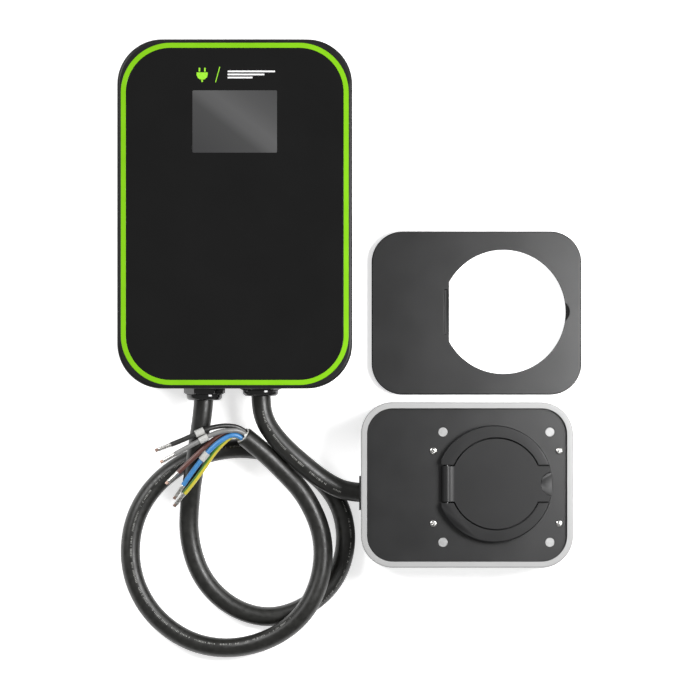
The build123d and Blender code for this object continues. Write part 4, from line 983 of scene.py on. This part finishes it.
screw_model = stand("screw_model", screw_mesh("screw_model"))
screw_points = bpy.data.meshes.new("screw_points")
screw_points.from_pydata([(x, y, plate_top)
                          for x in (screw_low[0] + head_r, screw_high[0] - head_r)
                          for y in (screw_low[1] + head_r, screw_high[1] - head_r)], [], [])
screws = grown("plate_screw_set", screw_points, *scatter_tree(), {
    "Piece": screw_model, "Seed": 3, "Finish": bright_nickel})
bpy.data.objects.remove(screw_model)
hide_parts("plate_screws")
magnet_piece = softened("magnets", 0.00025, dull_nickel)

# ---------------------------------------------------------------- socket
# One black moulding makes the round collar and the barrel under it. A ring nut holds it from
# behind, and a carrier in it holds the silver-plated contacts.
textured = moulded_finish("textured_black", (0.0032, 0.0032, 0.0035), (0.0048, 0.0048, 0.0052), 0.43,
                          0.0005, 0.00003, edge=(0.03, 0.03, 0.03), mottle=0.03, shine=0.30)
# A darker, rougher black for the faces inside the finger recesses: the darker colour is painted
# shade.
recess_shade_black = moulded_finish("recess_shade_black", (0.0022, 0.0022, 0.0022), (0.0034, 0.0034, 0.0034), 0.6,
                             0.0004, 0.00006, mottle=0.01, shine=0.2)
scoop_axis = (0.2686, -0.228)
scoop_r = 0.0104


def shade_recess_faces(piece, axis, reach, top):
    """Gives the faces of a round finger recess a darker, rougher black: painted shade inside the
    recess.
    """
    piece.data.materials.append(recess_shade_black)
    for face in piece.data.polygons:
        away = math.hypot(face.center.x - axis[0], face.center.y - axis[1])
        if away < reach and face.center.z < top:
            face.material_index = 1


collar = softened("socket_body", 0.0003, textured)
# The collar's part of the finger scoop gets painted shade.
shade_recess_faces(collar, scoop_axis, scoop_r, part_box("lid")[0][2] + 0.0001)
silver = moulded_finish("contact_silver", (0.66, 0.64, 0.58), (0.80, 0.78, 0.72), 0.25, 0.0008,
                        0.00001, metal=1.0)
dress(shell_black, "socket_ring_nut", "contact_carrier", "lock_actuator", "cable_clamp")
dress(silver, "power_contacts", "pilot_contacts")

# ---------------------------------------------------------------- lid
# A sprung lid with a hinge barrel at its left, a finger scoop at its right and a rubber seal
# under it. It turns on a steel pin.
lid_piece = softened("lid", 0.0003, textured, body="lid")
shade_recess_faces(lid_piece, scoop_axis, scoop_r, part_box("lid")[1][2] - 0.00015)
dark_steel = moulded_finish("dark_steel", (0.06, 0.06, 0.06), (0.10, 0.10, 0.10), 0.35, 0.0008,
                            0.00002, metal=1.0, mottle=0.002)
dress(dark_steel, "hinge_pin", "lid_spring", "lock_pin")

# ---------------------------------------------------------------- inlet clamp
# Two zinc-plated screws press a moulded bar onto the cable behind the rubber inlet, so a pull on
# the cable doesn't reach the contacts.
dress(zinc, "clamp_screws")

# ---------------------------------------------------------------- cover plate
# The loose cover of the socket unit, in the same satin black, with a thin bevelled edge, a
# relief for the hinge and a notch for the fingertip. Four steel discs on its back meet the magnets.
cover = softened("cover_plate", 0.0006, satin, body="cover_plate")
notch_axis = (0.2736, -0.08255)
notch_r = 0.0104
# The fingertip notch of the cover gets the same painted shade.
shade_recess_faces(cover, notch_axis, notch_r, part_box("cover_plate")[1][2] - 0.0004)
dress(zinc, "cover_discs")
